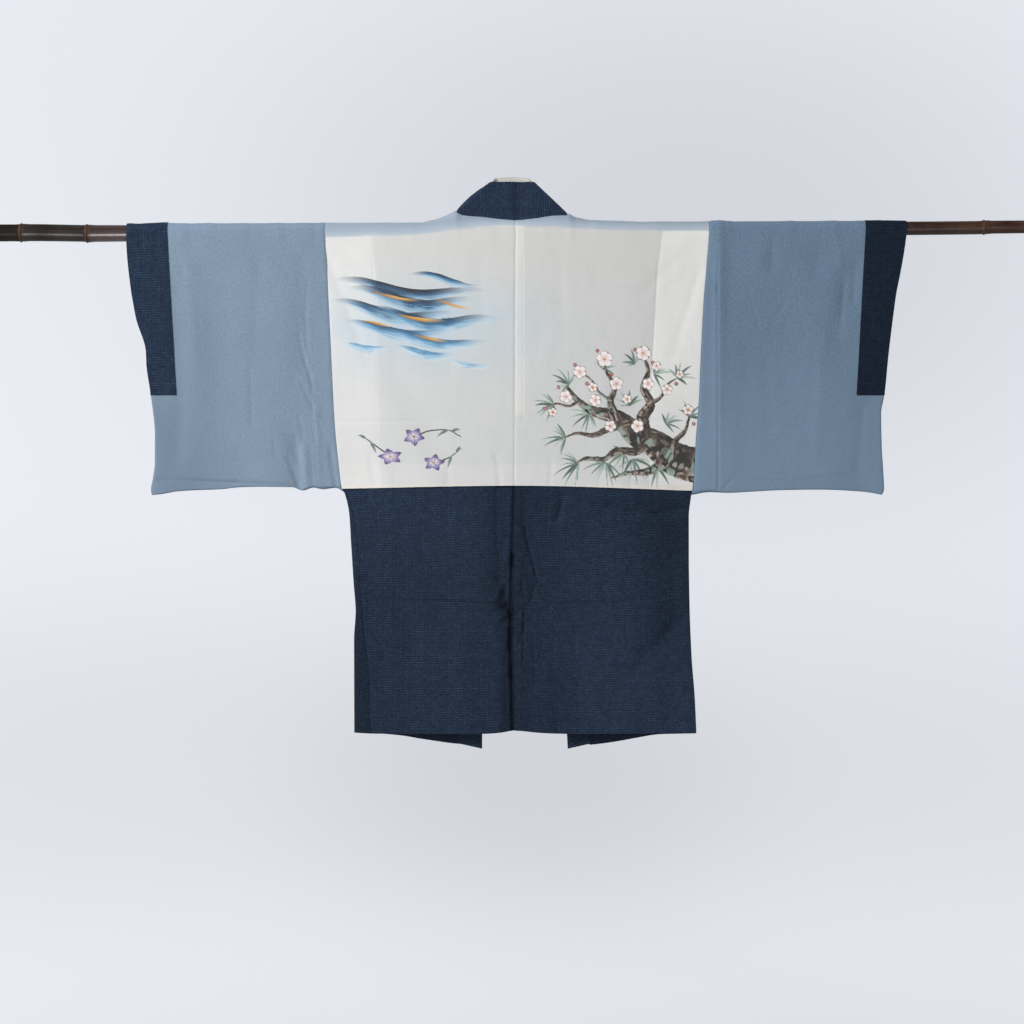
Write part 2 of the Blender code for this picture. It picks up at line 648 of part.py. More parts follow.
def collar_rails():
    """The collar's two long edges, from the left front's hem round the neck to the right front's hem:
    the seam, which follows the edge of the fronts and of the back neck, and the free edge. At each
    side of the neck the band rolls from its near to its far layer. The third result says how much
    the band bows between its edges, and the last the first and last rows of the neck."""
    drops = np.array([-876, -800, -700, -600, -520, -437, -350, -270, -210, -160, -115, -75, -40, -15, 0.0])
    turns = np.array([158, 135, 112, 88, 65.0])
    roll = (FAR_COLLAR_Y - NEAR_COLLAR_Y) / 2
    roll_y = NEAR_COLLAR_Y + roll
    neck_shares = np.array([0.08, 0.2, 0.35, 0.5, 0.65, 0.8, 0.92])

    def front(seam_x, edge_x, sign):
        clear = sign * -(SEAM + 0.1 + 0.9 * ease((drops + 60) / 60))
        seam = hang(seam_x(drops) + clear, drops, 1)
        seam[:, 1] += 0.4
        edge_z = drops + collar_fan(drops)
        edge_y = FAR_COLLAR_Y + (seam[:, 1] - FAR_COLLAR_Y) * ease(-drops / 300)
        return seam, np.stack([edge_x(edge_z), edge_y, edge_z], axis=-1)

    def corner(neck, edge_x, corner_x, corner_z, sign):
        x = neck - sign * 1.3
        seam = np.array([over(x, angle) for angle in turns])
        seam[:, 2] += 1.1
        phase = np.radians((turns - NECK_ANGLE) / (180 - NECK_ANGLE) * 180)
        flat_x = edge_x(TOP_OF_COLLAR)
        x = flat_x + (corner_x - flat_x) * np.sin(phase)
        z = TOP_OF_COLLAR + (corner_z - TOP_OF_COLLAR) * np.sin(phase)
        return seam, np.stack([x, roll_y - roll * np.cos(phase), z], axis=-1)

    left, left_edge = front(left_front_seam, left_collar_edge, -1)
    right, right_edge = front(right_front_seam, right_collar_edge, 1)
    left_turn, left_turn_edge = corner(NECK_LEFT, left_collar_edge, -58.0, 76.0, -1)
    right_turn, right_turn_edge = corner(NECK_RIGHT, right_collar_edge, 32.0, 77.0, 1)
    x = between(NECK_LEFT + 1.3, NECK_RIGHT - 1.3, neck_shares)
    back = over(x, NECK_ANGLE)
    back[:, 2] += 1.1
    edge_x = between(left_turn_edge[-1, 0], right_turn_edge[-1, 0], neck_shares)
    back_edge = np.stack([edge_x, np.full_like(x, NEAR_COLLAR_Y), np.full_like(x, TOP_OF_COLLAR)], axis=-1)
    seam = np.concatenate([left, left_turn, back, right_turn[::-1], right[::-1]])
    edge = np.concatenate([left_edge, left_turn_edge, back_edge, right_turn_edge[::-1], right_edge[::-1]])
    bow = np.zeros((len(seam), 3))
    first = len(left)
    rolled = np.sin(np.radians((turns - NECK_ANGLE) / (180 - NECK_ANGLE) * 180))
    bow[first : first + len(turns)] = rolled[:, None] * COLLAR_BOW
    return seam, edge, bow, (first, first + 2 * len(turns) + len(back))


def collar_grid(shares):
    """Middle points of the collar at these shares of its width, and the rows of its neck."""
    seam, edge, bow, neck = collar_rails()
    shares = np.asarray(shares)[None, :, None]
    bulge = bow[:, None] * 4 * shares * (1 - shares)
    return seam[:, None] + (edge - seam)[:, None] * shares + bulge, neck


def add_collar():
    middle, _ = collar_grid([0, 0.33, 0.67, 1])
    return add_wall("collar", middle, COLLAR_WALL, "shell_cloth")


def add_collar_core():
    """A strip inside the back neck of the collar that stands a little above its top edge."""
    middle, (first, last) = collar_grid([0.62, 0.78, 0.94, 1.08])
    normals = normals_of(middle)
    inward = np.sign(normals[(first + last) // 2, 1, 1])
    lifted = middle + inward * normals * (COLLAR_WALL / 2 + 1.5 * SEAM + CORE_WALL / 2)
    return add_wall("collar_core", lifted[first + 3 : last - 3], CORE_WALL, "core_cloth")


def main():
    for old in list(bpy.data.objects):
        bpy.data.objects.remove(old, do_unlink=True)
    add_pole()
    add_lining("lining_left", left_side, NECK_LEFT, left_front_seam, -1)
    add_lining("lining_right", right_side, NECK_RIGHT, right_front_seam, 1)
    add_skirt("back_left", left_back_seam, centre_seam, back_hem, -1, BACK_LEFT_SHARES, (BACK_FOLDS,), 1)
    add_skirt("back_right", right_side, centre_seam, back_hem, -1, BACK_RIGHT_SHARES, (BACK_FOLDS,), -1)
    add_skirt("front_left", left_back_seam, left_front_seam, front_hem, 1, FRONT_SHARES, (FRONT_FOLDS,), 1)
    add_skirt("front_right", right_side, right_front_seam, front_hem, 1, FRONT_SHARES, (FRONT_FOLDS,), -1)
    add_gusset("gusset_left", lambda z: left_back_seam(z) - SEAM / 2, left_gusset_reach, -1, 0)
    add_gusset("gusset_right", lambda z: right_side(z) - 1.5, gusset_width, -1, CLOTH_WALL + 3 * SEAM)
    add_sleeve("sleeve_left", left_wrist, left_side, left_sleeve_bottom, SLEEVE_SHARES, -1)
    add_sleeve("sleeve_right", right_wrist, right_side, right_sleeve_bottom, RIGHT_SLEEVE_SHARES, 1)
    add_cuff("cuff_left", left_wrist, left_band, left_sleeve_bottom)
    add_cuff("cuff_right", right_wrist, right_band, right_sleeve_bottom)
    add_collar()
    add_collar_core()


main()
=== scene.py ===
import bpy
import numpy as np
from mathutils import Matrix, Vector


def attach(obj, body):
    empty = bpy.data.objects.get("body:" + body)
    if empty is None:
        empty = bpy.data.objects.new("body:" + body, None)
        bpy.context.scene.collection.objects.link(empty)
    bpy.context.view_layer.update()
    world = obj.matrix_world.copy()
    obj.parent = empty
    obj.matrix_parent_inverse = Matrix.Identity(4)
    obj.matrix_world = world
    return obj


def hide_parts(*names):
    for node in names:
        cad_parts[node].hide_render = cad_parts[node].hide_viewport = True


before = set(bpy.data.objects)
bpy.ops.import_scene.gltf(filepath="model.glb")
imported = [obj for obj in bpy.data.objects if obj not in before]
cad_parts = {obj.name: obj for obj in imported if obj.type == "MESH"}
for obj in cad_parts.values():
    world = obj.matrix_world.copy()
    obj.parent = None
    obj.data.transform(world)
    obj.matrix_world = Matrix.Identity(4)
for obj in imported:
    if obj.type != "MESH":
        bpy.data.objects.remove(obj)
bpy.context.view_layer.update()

MM = 0.001
SHARP_ANGLE = 42


# ---- Studio -------------------------------------------------------------------------------
# The garment is seen straight from its back, as a kimono dealer shows it. Soft light comes
# from the left, before a pale wall that rounds into a pale floor far behind and below.
def linear(colour):
    """An sRGB hex colour as linear red, green, blue and 1."""
    values = np.array([int(colour[i : i + 2], 16) for i in (1, 3, 5)]) / 255
    return (*np.where(values <= 0.04045, values / 12.92, ((values + 0.055) / 1.055) ** 2.4), 1.0)


def feed(node, inputs):
    """Gives each input a value, a hex colour, another node's output, or a node's first one in use."""
    for socket, value in inputs.items():
        if isinstance(value, bpy.types.Node):
            value = next(output for output in value.outputs if output.enabled)
        if isinstance(value, bpy.types.NodeSocket):
            node.id_data.links.new(value, node.inputs[socket])
        else:
            node.inputs[socket].default_value = linear(value) if isinstance(value, str) else value


def add_node(tree, kind, inputs=None, **settings):
    """A shader node of this kind with these settings and inputs."""
    made = tree.nodes.new("ShaderNode" + kind)
    for name, value in settings.items():
        setattr(made, name, value)
    feed(made, inputs or {})
    return made


def stretched_noise(tree, place, scale, **inputs):
    """Noise drawn out along threads or fibres, with its own scale along each axis of the place."""
    stretched = add_node(tree, "Mapping", {0: place, "Scale": scale})
    return add_node(tree, "TexNoise", {0: stretched, "Scale": 1.0, **inputs})


def new_material(name):
    """An empty node material and its Principled shader."""
    made = bpy.data.materials.new(name)
    made.use_nodes = True
    return made, made.node_tree, made.node_tree.nodes["Principled BSDF"]


def add_mesh(name, points, faces, materials, chosen=None, uv=None):
    """An object from points in millimetres, and the numbers of the points it uses. Faces is a list of
    arrays with a face in each row; chosen is each array's material, uv its corners' places on the cloth."""
    used, corners = np.unique(np.concatenate([face.ravel() for face in faces]), return_inverse=True)
    sizes = np.concatenate([np.full(len(face), face.shape[1]) for face in faces])
    mesh = bpy.data.meshes.new(name)
    mesh.vertices.add(len(used))
    mesh.vertices.foreach_set("co", (points[used] * MM).ravel())
    mesh.loops.add(len(corners))
    mesh.loops.foreach_set("vertex_index", corners.ravel())
    mesh.polygons.add(len(sizes))
    mesh.polygons.foreach_set("loop_start", np.concatenate([[0], np.cumsum(sizes)[:-1]]))
    numbers = np.concatenate(
        [np.full(len(face), one) for face, one in zip(faces, chosen or [0] * len(faces))]
    )
    mesh.polygons.foreach_set("material_index", numbers)
    mesh.polygons.foreach_set("use_smooth", np.ones(len(sizes), bool))
    for made in materials:
        mesh.materials.append(made)
    if uv is not None:
        places = np.concatenate([place.reshape(-1, 2) for place in uv])
        mesh.uv_layers.new(name="cloth").data.foreach_set("uv", places.ravel())
    mesh.update(calc_edges=True)
    mesh.set_sharp_from_angle(angle=np.radians(SHARP_ANGLE))
    made = bpy.data.objects.new(name, mesh)
    bpy.context.scene.collection.objects.link(made)
    return made, used


def mark(made, name, values, kind="FLOAT", field="value"):
    """Keeps a value for each point of an object, under this name."""
    made.data.attributes.new(name, kind, "POINT").data.foreach_set(field, np.ravel(values))


def turned(profile, sides):
    """Points and faces of a profile of (along, out) turned about the axis of along: rings of points,
    each at out times the cosine and sine, joined by quads, with a face over each end."""
    along, out = np.array(profile, float).T
    turn = np.linspace(0, 2 * np.pi, sides, endpoint=False)
    ring = np.stack([out[:, None] * np.cos(turn), out[:, None] * np.sin(turn)], axis=-1)
    points = np.concatenate([np.broadcast_to(along[:, None, None], ring.shape[:2] + (1,)), ring], axis=-1)
    first = np.arange(len(along) - 1)[:, None] * sides
    a, b = first + np.arange(sides), first + (np.arange(sides) + 1) % sides
    quads = np.stack([a, a + sides, b + sides, b], axis=-1).reshape(-1, 4)
    ends = np.array([np.arange(sides), (len(along) - 1) * sides + np.arange(sides)[::-1]])
    return points.reshape(-1, 3), [quads, ends]


FLOOR_HEIGHT = -3600.0
WALL_RADIUS = 9000.0
WALL_ROUND = 2800.0
WALL_TOP = 5200.0
WALL_SIDES = 96
bend = np.radians(np.linspace(0, 90, 25))
wall_profile = [(FLOOR_HEIGHT, out) for out in (1.0, 2500.0, 4500.0)]
wall_profile += [
    (FLOOR_HEIGHT + WALL_ROUND * (1 - np.cos(t)), WALL_RADIUS - WALL_ROUND * (1 - np.sin(t))) for t in bend
]
wall_profile += [(height, WALL_RADIUS) for height in (1500.0, WALL_TOP)]
points, faces = turned(wall_profile, WALL_SIDES)
# Dead flat paint that glows: painted light with no lamp, less soft dips of painted shade above, to the
# right and low down.
glowing_backdrop_paint, tree, shader = new_material("matt pale backdrop paint")
place = add_node(tree, "TexCoord").outputs["Object"]
PAINTED_SHADE_DIPS = (  # middle of each painted-shade dip, x and z, its reach in x and z, and how much darker it is
    ((700.0, 1000.0), (3800.0, 2400.0), 0.45), ((60.0, -1850.0), (1900.0, 1200.0), 0.22),
    ((-1500.0, -1780.0), (9000.0, 1500.0), 0.32), ((2600.0, -700.0), (4600.0, 4200.0), 0.12),
    ((0.0, -3700.0), (9000.0, 1500.0), 0.47)
)
BACKDROP_GLOW = 0.345
painted_backdrop_light = 1.0
for (x, z), (wide, high), dip in PAINTED_SHADE_DIPS:
    shift = (-x / wide, 0, -z / high)
    pool = add_node(tree, "Mapping", {
        0: place, "Location": shift, "Scale": (1000 / wide, 0.0, 1000 / high)
    })
    ball = add_node(tree, "TexGradient", {0: pool}, gradient_type="SPHERICAL")
    soft = add_node(
        tree, "MapRange", {0: ball.outputs["Fac"], "To Max": dip}, interpolation_type="SMOOTHERSTEP"
    )
    painted_backdrop_light = add_node(tree, "Math", {0: painted_backdrop_light, 1: soft}, operation="SUBTRACT")
# The backdrop's glow is painted light, less the painted-shade dips.
glow = add_node(tree, "Math", {0: painted_backdrop_light, 1: BACKDROP_GLOW}, operation="MULTIPLY")
feed(shader, {
    "Emission Strength": glow, "Emission Color": "#F3F8FF", "Base Color": "#F1F2F5", "Roughness": 1.0,
    "Specular IOR Level": 0.0
})
backdrop, _ = add_mesh("studio_backdrop", points[:, [2, 1, 0]], faces[:1], [glowing_backdrop_paint])
backdrop.visible_diffuse = False
backdrop.visible_shadow = False

DAYLIGHT = 0.48
world = bpy.data.worlds.new("soft daylight")
world.use_nodes = True
feed(world.node_tree.nodes["Background"], {"Color": "#F4F6FB", "Strength": DAYLIGHT})
bpy.context.scene.world = world
bpy.context.scene.view_settings.view_transform = "Standard"

LIGHTS = (  # name, place, point it faces, width, height, watts
    ("key_left", (-4200, -2900, 1900), (60, 0, -420), 1700, 1700, 300),
    ("card_low", (-500, -4350, -2150), (0, 0, 0), 3600, 1300, 245),
    ("fill_far_side", (3300, 3900, 1700), (0, 0, -400), 2200, 2200, 125)
)
for name, place, target, width, tall, watts in LIGHTS:
    lamp = bpy.data.lights.new(name, "AREA")
    lamp.shape = "RECTANGLE"
    lamp.size, lamp.size_y, lamp.energy = width * MM, tall * MM, watts
    lit = bpy.data.objects.new(name, lamp)
    aim = np.subtract(target, place) * MM
    lit.location = np.array(place) * MM
    lit.rotation_euler = Vector(aim).to_track_quat("-Z", "Y").to_euler()
    lit.visible_camera = False
    lit.visible_diffuse = name != "card_low"  # this one only gives the lacquer its streak
    bpy.context.scene.collection.objects.link(lit)

CAMERA_PLACE = (-9.35, -4500.0, -480.0)
CAMERA_LENS = 92.8
SENSOR_WIDTH = 36.0
lens = bpy.data.cameras.new("camera")
lens.lens, lens.sensor_width = CAMERA_LENS, SENSOR_WIDTH
lens.clip_end = 60.0
camera = bpy.data.objects.new("camera", lens)
camera.location = np.array(CAMERA_PLACE) * MM
camera.rotation_euler = (np.pi / 2, 0, 0)
bpy.context.scene.collection.objects.link(camera)
bpy.context.scene.camera = camera

# ---- Bamboo pole --------------------------------------------------------------------------
# A slender bamboo, straightened over a fire and coated with dark brown lacquer. The rings are
# the scars of its leaf sheaths, rubbed to tan, each with a groove; its ends are sawn square.
POLE_HALF_LENGTH = 905.0
POLE_RADIUS = 12.05
POLE_TAPER = 0.0018
POLE_RISE = 0.0057
POLE_SIDES = 40
POLE_STEP = 6.0
BAMBOO_WALL = 3.4
END_HOLLOW = 26.0
END_BEVEL = 0.5
BUD_GROOVE = (0.5, 90.0, 0.5)  # depth, how far it runs along the pole, half its angle
BAMBOO_NODES = (  # x, height of its ridge
    (-845.8, 1.4), (-733.6, 1.4), (-594.2, 0.4), (-434.4, 0.4), (-261.0, 0.4), (-72.3, 0.4), (128.4, 0.4),
    (344.3, 1.6), (570.4, 0.4), (794.8, 1.4)
)
POLE_STRETCHES = (  # x, height off the straight axis, extra radius, redness, more of it on top (painted shade on top where below 0, painted light on top where above 0), gloss
    (-905, 0.9, 1.0, 0.05, -0.6, 0.03), (-846, 0.9, 1.0, 0.05, -0.6, 0.03),
    (-841, 0.9, 1.0, 0.05, -0.6, 0.45), (-811, 0.7, 1.0, 0.05, -0.6, 0.12),
    (-778, -0.1, 1.0, 0.12, -0.6, 0.38), (-736, -1.2, 1.0, 0.12, -0.6, 0.22),
    (-725, -1.1, 1.0, 0.40, -0.6, 0.90), (-668, -1.1, 0.9, 0.60, -0.6, 1.00),
    (-610, 0.0, 0.0, 0.50, -0.2, 0.90), (610, 0.0, 0.0, 0.50, 0.0, 0.40),
    (668, -0.3, 0.9, 0.62, 0.0, 0.14), (785, 0.0, 1.1, 0.60, 0.0, 0.16), (800, 1.0, 0.7, 0.85, 0.5, 0.10),
    (905, 1.5, 0.6, 0.80, 0.5, 0.10)
)


def bell(distance, reach):
    """1 in the middle, falling away on both sides: about a third is left at the reach."""
    return np.exp(-((distance / reach) ** 2))


def pole_radius(x):
    return POLE_RADIUS - POLE_TAPER * x


def axis_height(x):
    return POLE_RISE * x


def ring_relief(x):
    """Height of the rings: a sharp scar on a soft swelling that runs on to its right."""
    total = np.zeros_like(x)
    for place, height in BAMBOO_NODES:
        past = x - place
        total += height * (0.8 * bell(past, 1.5) + 0.55 * bell(past - 3, 7.0))
        total -= 0.3 * bell(past - 3.2, 1.2)
    return total


def bud_groove(x, turn):
    """Depth of the flat channel above each bud, on alternate sides of the pole from ring to ring."""
    places = np.array([place for place, _ in BAMBOO_NODES])
    stretch = np.searchsorted(places, x)
    start = np.append(places, POLE_HALF_LENGTH)[np.minimum(stretch, len(places))]
    deep, run, spread = BUD_GROOVE
    fade = np.exp(-np.abs(start - x) / run)
    return deep * fade * np.exp(-(((turn - np.pi * (0.5 + (stretch % 2))) / spread) ** 2))


rough = np.arange(-POLE_HALF_LENGTH + 0.6, POLE_HALF_LENGTH - 0.5, POLE_STEP)
near_rings = np.concatenate([place + np.arange(-7, 13, 0.8) for place, _ in BAMBOO_NODES])
x = np.unique(np.round(np.concatenate([rough, near_rings]), 2))
left_end, right_end = pole_radius(np.array([-POLE_HALF_LENGTH, POLE_HALF_LENGTH]))
pole_profile = [
    (-POLE_HALF_LENGTH + END_HOLLOW, 0.4), (-POLE_HALF_LENGTH + END_HOLLOW, left_end - BAMBOO_WALL),
    (-POLE_HALF_LENGTH, left_end - BAMBOO_WALL), (-POLE_HALF_LENGTH, left_end - END_BEVEL),
    *zip(x, pole_radius(x) + ring_relief(x)), (POLE_HALF_LENGTH, right_end - END_BEVEL),
    (POLE_HALF_LENGTH, right_end - BAMBOO_WALL), (POLE_HALF_LENGTH - END_HOLLOW, right_end - BAMBOO_WALL),
    (POLE_HALF_LENGTH - END_HOLLOW, 0.4)
]
points, faces = turned(pole_profile, POLE_SIDES)
turn = np.arctan2(points[:, 2], points[:, 1]) % (2 * np.pi)
outside = np.hypot(points[:, 1], points[:, 2]) > pole_radius(points[:, 0]) - 1
stretch_x, *looks = np.array(POLE_STRETCHES).T
off_axis, growth, redness, above, gloss = (np.interp(points[:, 0], stretch_x, look) for look in looks)
# Painted light and shade: the pole's top is less red, so darker, where the top column is below 0, and
# redder, so lighter, where it is above 0.
redness = redness * (1 + above * points[:, 2] / np.hypot(points[:, 1], points[:, 2]).clip(1))
growth = growth - np.where(outside, bud_groove(points[:, 0], turn), 0)
points[:, 1:] *= 1 + growth[:, None] / POLE_RADIUS
points[:, 2] += axis_height(points[:, 0]) + off_axis
# A thin glossy coat, tan where it is rubbed off
lacquer, tree, shader = new_material("dark brown lacquer over bamboo")
place = add_node(tree, "TexCoord").outputs["Object"]
fibres = stretched_noise(tree, place, (6.0, 420.0, 420.0), Detail=5.0)
blotches = add_node(tree, "TexNoise", {0: place, "Scale": 22.0, "Detail": 4.0})
grain = add_node(tree, "MapRange", {0: fibres, "From Min": 0.35, "From Max": 0.72})
red = add_node(tree, "Attribute", attribute_name="redness")
browns = [
    add_node(tree, "Mix", {0: grain, 6: deep, 7: pale}, data_type="RGBA")
    for deep, pale in (("#131110", "#332C27"), ("#3A251C", "#6E4A39"))
]
brown = add_node(tree, "Mix", {0: red.outputs["Fac"], 6: browns[0], 7: browns[1]}, data_type="RGBA")
mottle = add_node(tree, "MapRange", {0: blotches, "From Min": 0.4, "From Max": 0.75})
mottled = add_node(tree, "Mix", {0: mottle, 6: brown, 7: "#140F0D"}, data_type="RGBA")
rubbed = add_node(tree, "Attribute", attribute_name="rubbed")
worn = add_node(tree, "Mix", {0: rubbed.outputs["Fac"], 6: mottled, 7: "#4C392D"}, data_type="RGBA")
bump = add_node(tree, "Bump", {"Height": fibres, "Strength": 0.25, "Distance": 0.0004})
feed(shader, {"Base Color": worn, "Normal": bump, "Roughness": 0.5, "Specular IOR Level": 0.06})
dulled = add_node(tree, "MapRange", {0: blotches, "From Min": 0.35, "From Max": 0.62, "To Min": 0.7})
polish = add_node(tree, "Attribute", attribute_name="gloss")
unworn = add_node(tree, "Math", {0: 1.0, 1: rubbed.outputs["Fac"]}, operation="SUBTRACT")
coat = add_node(tree, "Math", {0: dulled, 1: unworn}, operation="MULTIPLY")
coat = add_node(tree, "Math", {0: coat, 1: polish.outputs["Fac"]}, operation="MULTIPLY")
feed(shader, {"Coat Weight": coat, "Coat Roughness": 0.27, "Coat IOR": 1.55})
pole, used = add_mesh("bamboo_pole", points, faces, [lacquer])
wear = np.zeros(len(points))
for node_place, _ in BAMBOO_NODES:
    past = points[:, 0] - node_place
    wear += np.exp(-((past / 2.4) ** 4)) + 0.35 * bell(past - 5, 4.0)
wear = np.where(outside, np.clip(wear, 0, 1), 0.8)
for name, values in (("rubbed", wear), ("redness", redness), ("gloss", gloss)):
    mark(pole, name, values[used])
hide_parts("pole")
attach(pole, "root")

# ---- Sleeves ------------------------------------------------------------------------------
# Two straight bag sleeves, turned so that their blue-grey lining silk shows. Each is one length
# folded along its bottom, hung over the pole, sewn to the body and sewn shut below the wrist.
CLOTH_WALL = 1.4
SILK_WALL = 0.9
SEAM = 0.3
CLOTH_CLEAR = 0.9
WAIST = -437.0
SLEEVE_BOTTOM = -451.0
WRIST_OPEN = -277.0
LEFT_SIDE = (  # side line of the body, which is also the armhole seam: z, x
    (13, -328), (-170, -318.8), (-340, -310.3), (-382, -306.2), (-430, -300.7), (-437, -299.5),
    (-450, -294.3), (-483, -287.2), (-531, -284.2), (-602, -279.7), (-650, -276.3), (-697, -279),
    (-857, -278.6)
)
RIGHT_SIDE = (
    (13, 326.6), (-20, 324.6), (-70, 320.8), (-119, 316.6), (-211, 312), (-290, 308.6), (-358, 303.5),
    (-437, 298.4), (-456, 295), (-490, 291.6), (-555, 291.6), (-650, 293.3), (-732, 296.7), (-793, 301.5),
    (-857, 304.5)
)
LEFT_WRIST = (  # outer edge of each sleeve: z, x
    (13, -664.5), (-23, -663.9), (-104, -656.3), (-130, -652), (-152, -648), (-210, -631.6),
    (-233, -630.9), (-281, -624.8), (-349, -618), (-395, -618), (-425, -621.7), (-440, -624.4),
    (-451, -623.4)
)
RIGHT_WRIST = (
    (13, 662.2), (-9, 660.5), (-35, 657.1), (-74, 650.3), (-109, 643.5), (-162, 636.7), (-213, 630.9),
    (-281, 624.8), (-312, 619.5), (-366, 620.5), (-415, 623.4), (-441, 624.5), (-451, 621)
)
LEFT_SLEEVE_BOTTOM = (  # lower edge of each sleeve: x, z
    (-625, -451), (-608, -449.3), (-580, -444.5), (-548, -442.5), (-506, -440.8), (-472, -437.4),
    (-438, -436.6), (-383, -437.4), (-366, -443), (-348, -438.1), (-332, -440.8), (-309, -438.5),
    (-290, -451)
)
RIGHT_SLEEVE_BOTTOM = (
    (295, -451), (327, -446), (361, -447), (395, -445.2), (446, -442.5), (511, -441.5), (589, -445),
    (625, -451)
)
WAIST_LINE = ((-300, -437.4), (0, -432.3), (300, -440.8))  # x, z
BODY_DEPTH = ((0, 14.0), (-150, 13.6), (-437, 12), (-857, 11))  # half the space between layers: z, depth
SIDE_DEPTH = ((0, 14.0), (-120, 12), (-437, 6.5), (-857, 8))
SLEEVE_DEPTH = ((0, 14.0), (-90, 12.4), (-250, 6.6), (-380, 2.9), (-451, 1.7))
DEPTH_AT_POLE = 14.0
SHUT_DEPTH = 1.7
SHUT_RUN = 60.0  # over which height a sleeve closes below its opening, and its edge is pinched
PINCH_RUN = 8.0
SEWN_EDGE_DEPTH = 0.6
SEWN_EDGE_REACH = 4.0
LEAST_DEPTH = 0.9
SLEEVE_FOLD_RISE = 3.2
SIDE_REACH = 90.0
WRIST_REACH = 60.0
CRUMPLE_REACH = 45.0  # how far below the pole its small dents go on
FOLD_START = 60.0  # how far below the pole folds, and then leaning, reach their full depth
SWAY_START = 90.0
CREASE_START = 30.0  # and creases, in from the wrist edge
RIDGE_UNDER_CLOTH = (344.3, 2.2, 11.0)  # x, how far it lifts the cloth, reach
SHOULDER_LIFT = (  # height of the top line above the pole's cloth: x, height
    (-664, -1.2), (-648, -0.9), (-620, 0.3), (-600, 1.4), (-590, 1.1), (-570, 0.2), (-550, 0), (-165, 0),
    (-149, 3.4), (-136, 6.2), (-124, 10.6), (-115, 14.4), (-104.8, 19.8), (-95, 15.6), (-76, 12.6),
    (-60, 11), (-25, 6.8), (0, 5), (34, 9), (68, 13.6), (85.9, 14), (98, 8.5), (106, 6.8), (123, 3.4),
    (174, 1.5), (208, 0), (600, 0), (640, -0.4), (662, -1.2)
)
# Folds and creases: x and z of one end, x and z of the other, reach, depth away from the viewer
SLEEVE_FOLDS = (
    (-366, -60, -369, -240, 16, 1.2), (-384, -365, -372, -446, 15, 1.8), (-576, -90, -572, -350, 22, 2.2),
    (-520, -120, -505, -330, 34, 1.8), (-612, -310, -600, -400, 24, 1.8), (341, -10, 341, -440, 8, -0.5),
    (557, -85, 546, -175, 14, 1.7), (576, -60, 571, -125, 12, 1.2), (434, -2, 433, -60, 12, 1.4),
    (512, -8, 510, -70, 16, 1.2), (450, -120, 462, -360, 30, 1.6), (386, -420, 565, -409, 10, -1.4)
)
SLEEVE_CREASES = (
    (-612, -423.4, -484, -428.5, 2.2, 0.9), (-484, -428.5, -391, -433.5, 2.2, 0.8),
    (-357, -92, -361, -150, 3.0, 0.45), (-361, -146, -358, -204, 3.4, 0.7),
    (-371, -180, -362, -226, 3.6, 0.7), (-363, -218, -353, -252, 3.2, 0.95),
    (-353, -246, -349, -272, 2.8, 0.8), (-376, -238, -358, -262, 4.0, -0.7),
    (-365, -268, -350, -300, 3.0, 0.7), (-350, -296, -345, -352, 2.6, 0.5),
    (-345, -346, -341, -424, 2.6, 0.4), (-372, -318, -366, -352, 3.6, 0.5),
    (-379, -352, -372, -396, 4.0, 0.7), (-390, -392, -372, -440, 5.0, 1.2),
    (-363, -372, -361, -440, 5.0, -0.8), (-318, -380, -309, -440, 4.0, 0.6),
    (-455, -240, -452, -330, 5.0, 0.6), (-416, -355, -412, -385, 4.0, 0.5),
    (-560, -60, -552, -210, 10, -0.5), (-440, -40, -446, -190, 12, 0.5), (341.5, 2, 340, -102, 1.8, 0.9),
    (340, -95, 342, -443, 1.8, 1.0), (556, -95, 551, -148, 4.4, 0.8), (573, -72, 571, -118, 4.2, 0.7),
    (391, -96, 411, -164, 2.8, 0.35), (455, -122, 434, -158, 3.4, 0.35), (430, -166, 436, -198, 2.8, 0.3),
    (477, -122, 491, -184, 3.0, 0.35), (434, -6, 433, -46, 4.0, 0.6), (544, -2, 549, -62, 6.0, -0.8),
    (386, -422, 470, -421, 3.0, -0.7), (470, -421, 566, -409, 3.0, -0.8),
    (352, -438, 362, -428, 3.0, 0.8), (420, -200, 428, -330, 12, 0.6), (520, -190, 508, -380, 10, -0.6),
    (590, -310, 580, -400, 8, 0.6)
)
SWAY_FOLDS = (  # bends of both layers together
    (-381, -368, -371, -448, 10, 1.9), (-361, -380, -358, -448, 8, -1.3),
    (-343, -310, -340, -440, 7, -1.0), (-318, -372, -309, -446, 6, 1.2),
    (-614, -300, -604, -440, 34, 1.2), (-574, -288, -580, -380, 14, 1.2),
    (-500, -250, -480, -450, 42, 1.3), (-580, -60, -560, -440, 34, -1.0),
    (-400, -150, -410, -440, 30, -1.1), (-340, -60, -336, -430, 22, 0.8), (410, -120, 420, -445, 38, 1.2),
    (520, -200, 530, -445, 34, -1.1), (590, -60, 585, -440, 26, 0.8), (360, -200, 366, -430, 20, -0.7),
    (-150, -840, -130, -520, 60, 1.0), (150, -840, 170, -560, 60, -1.0)
)


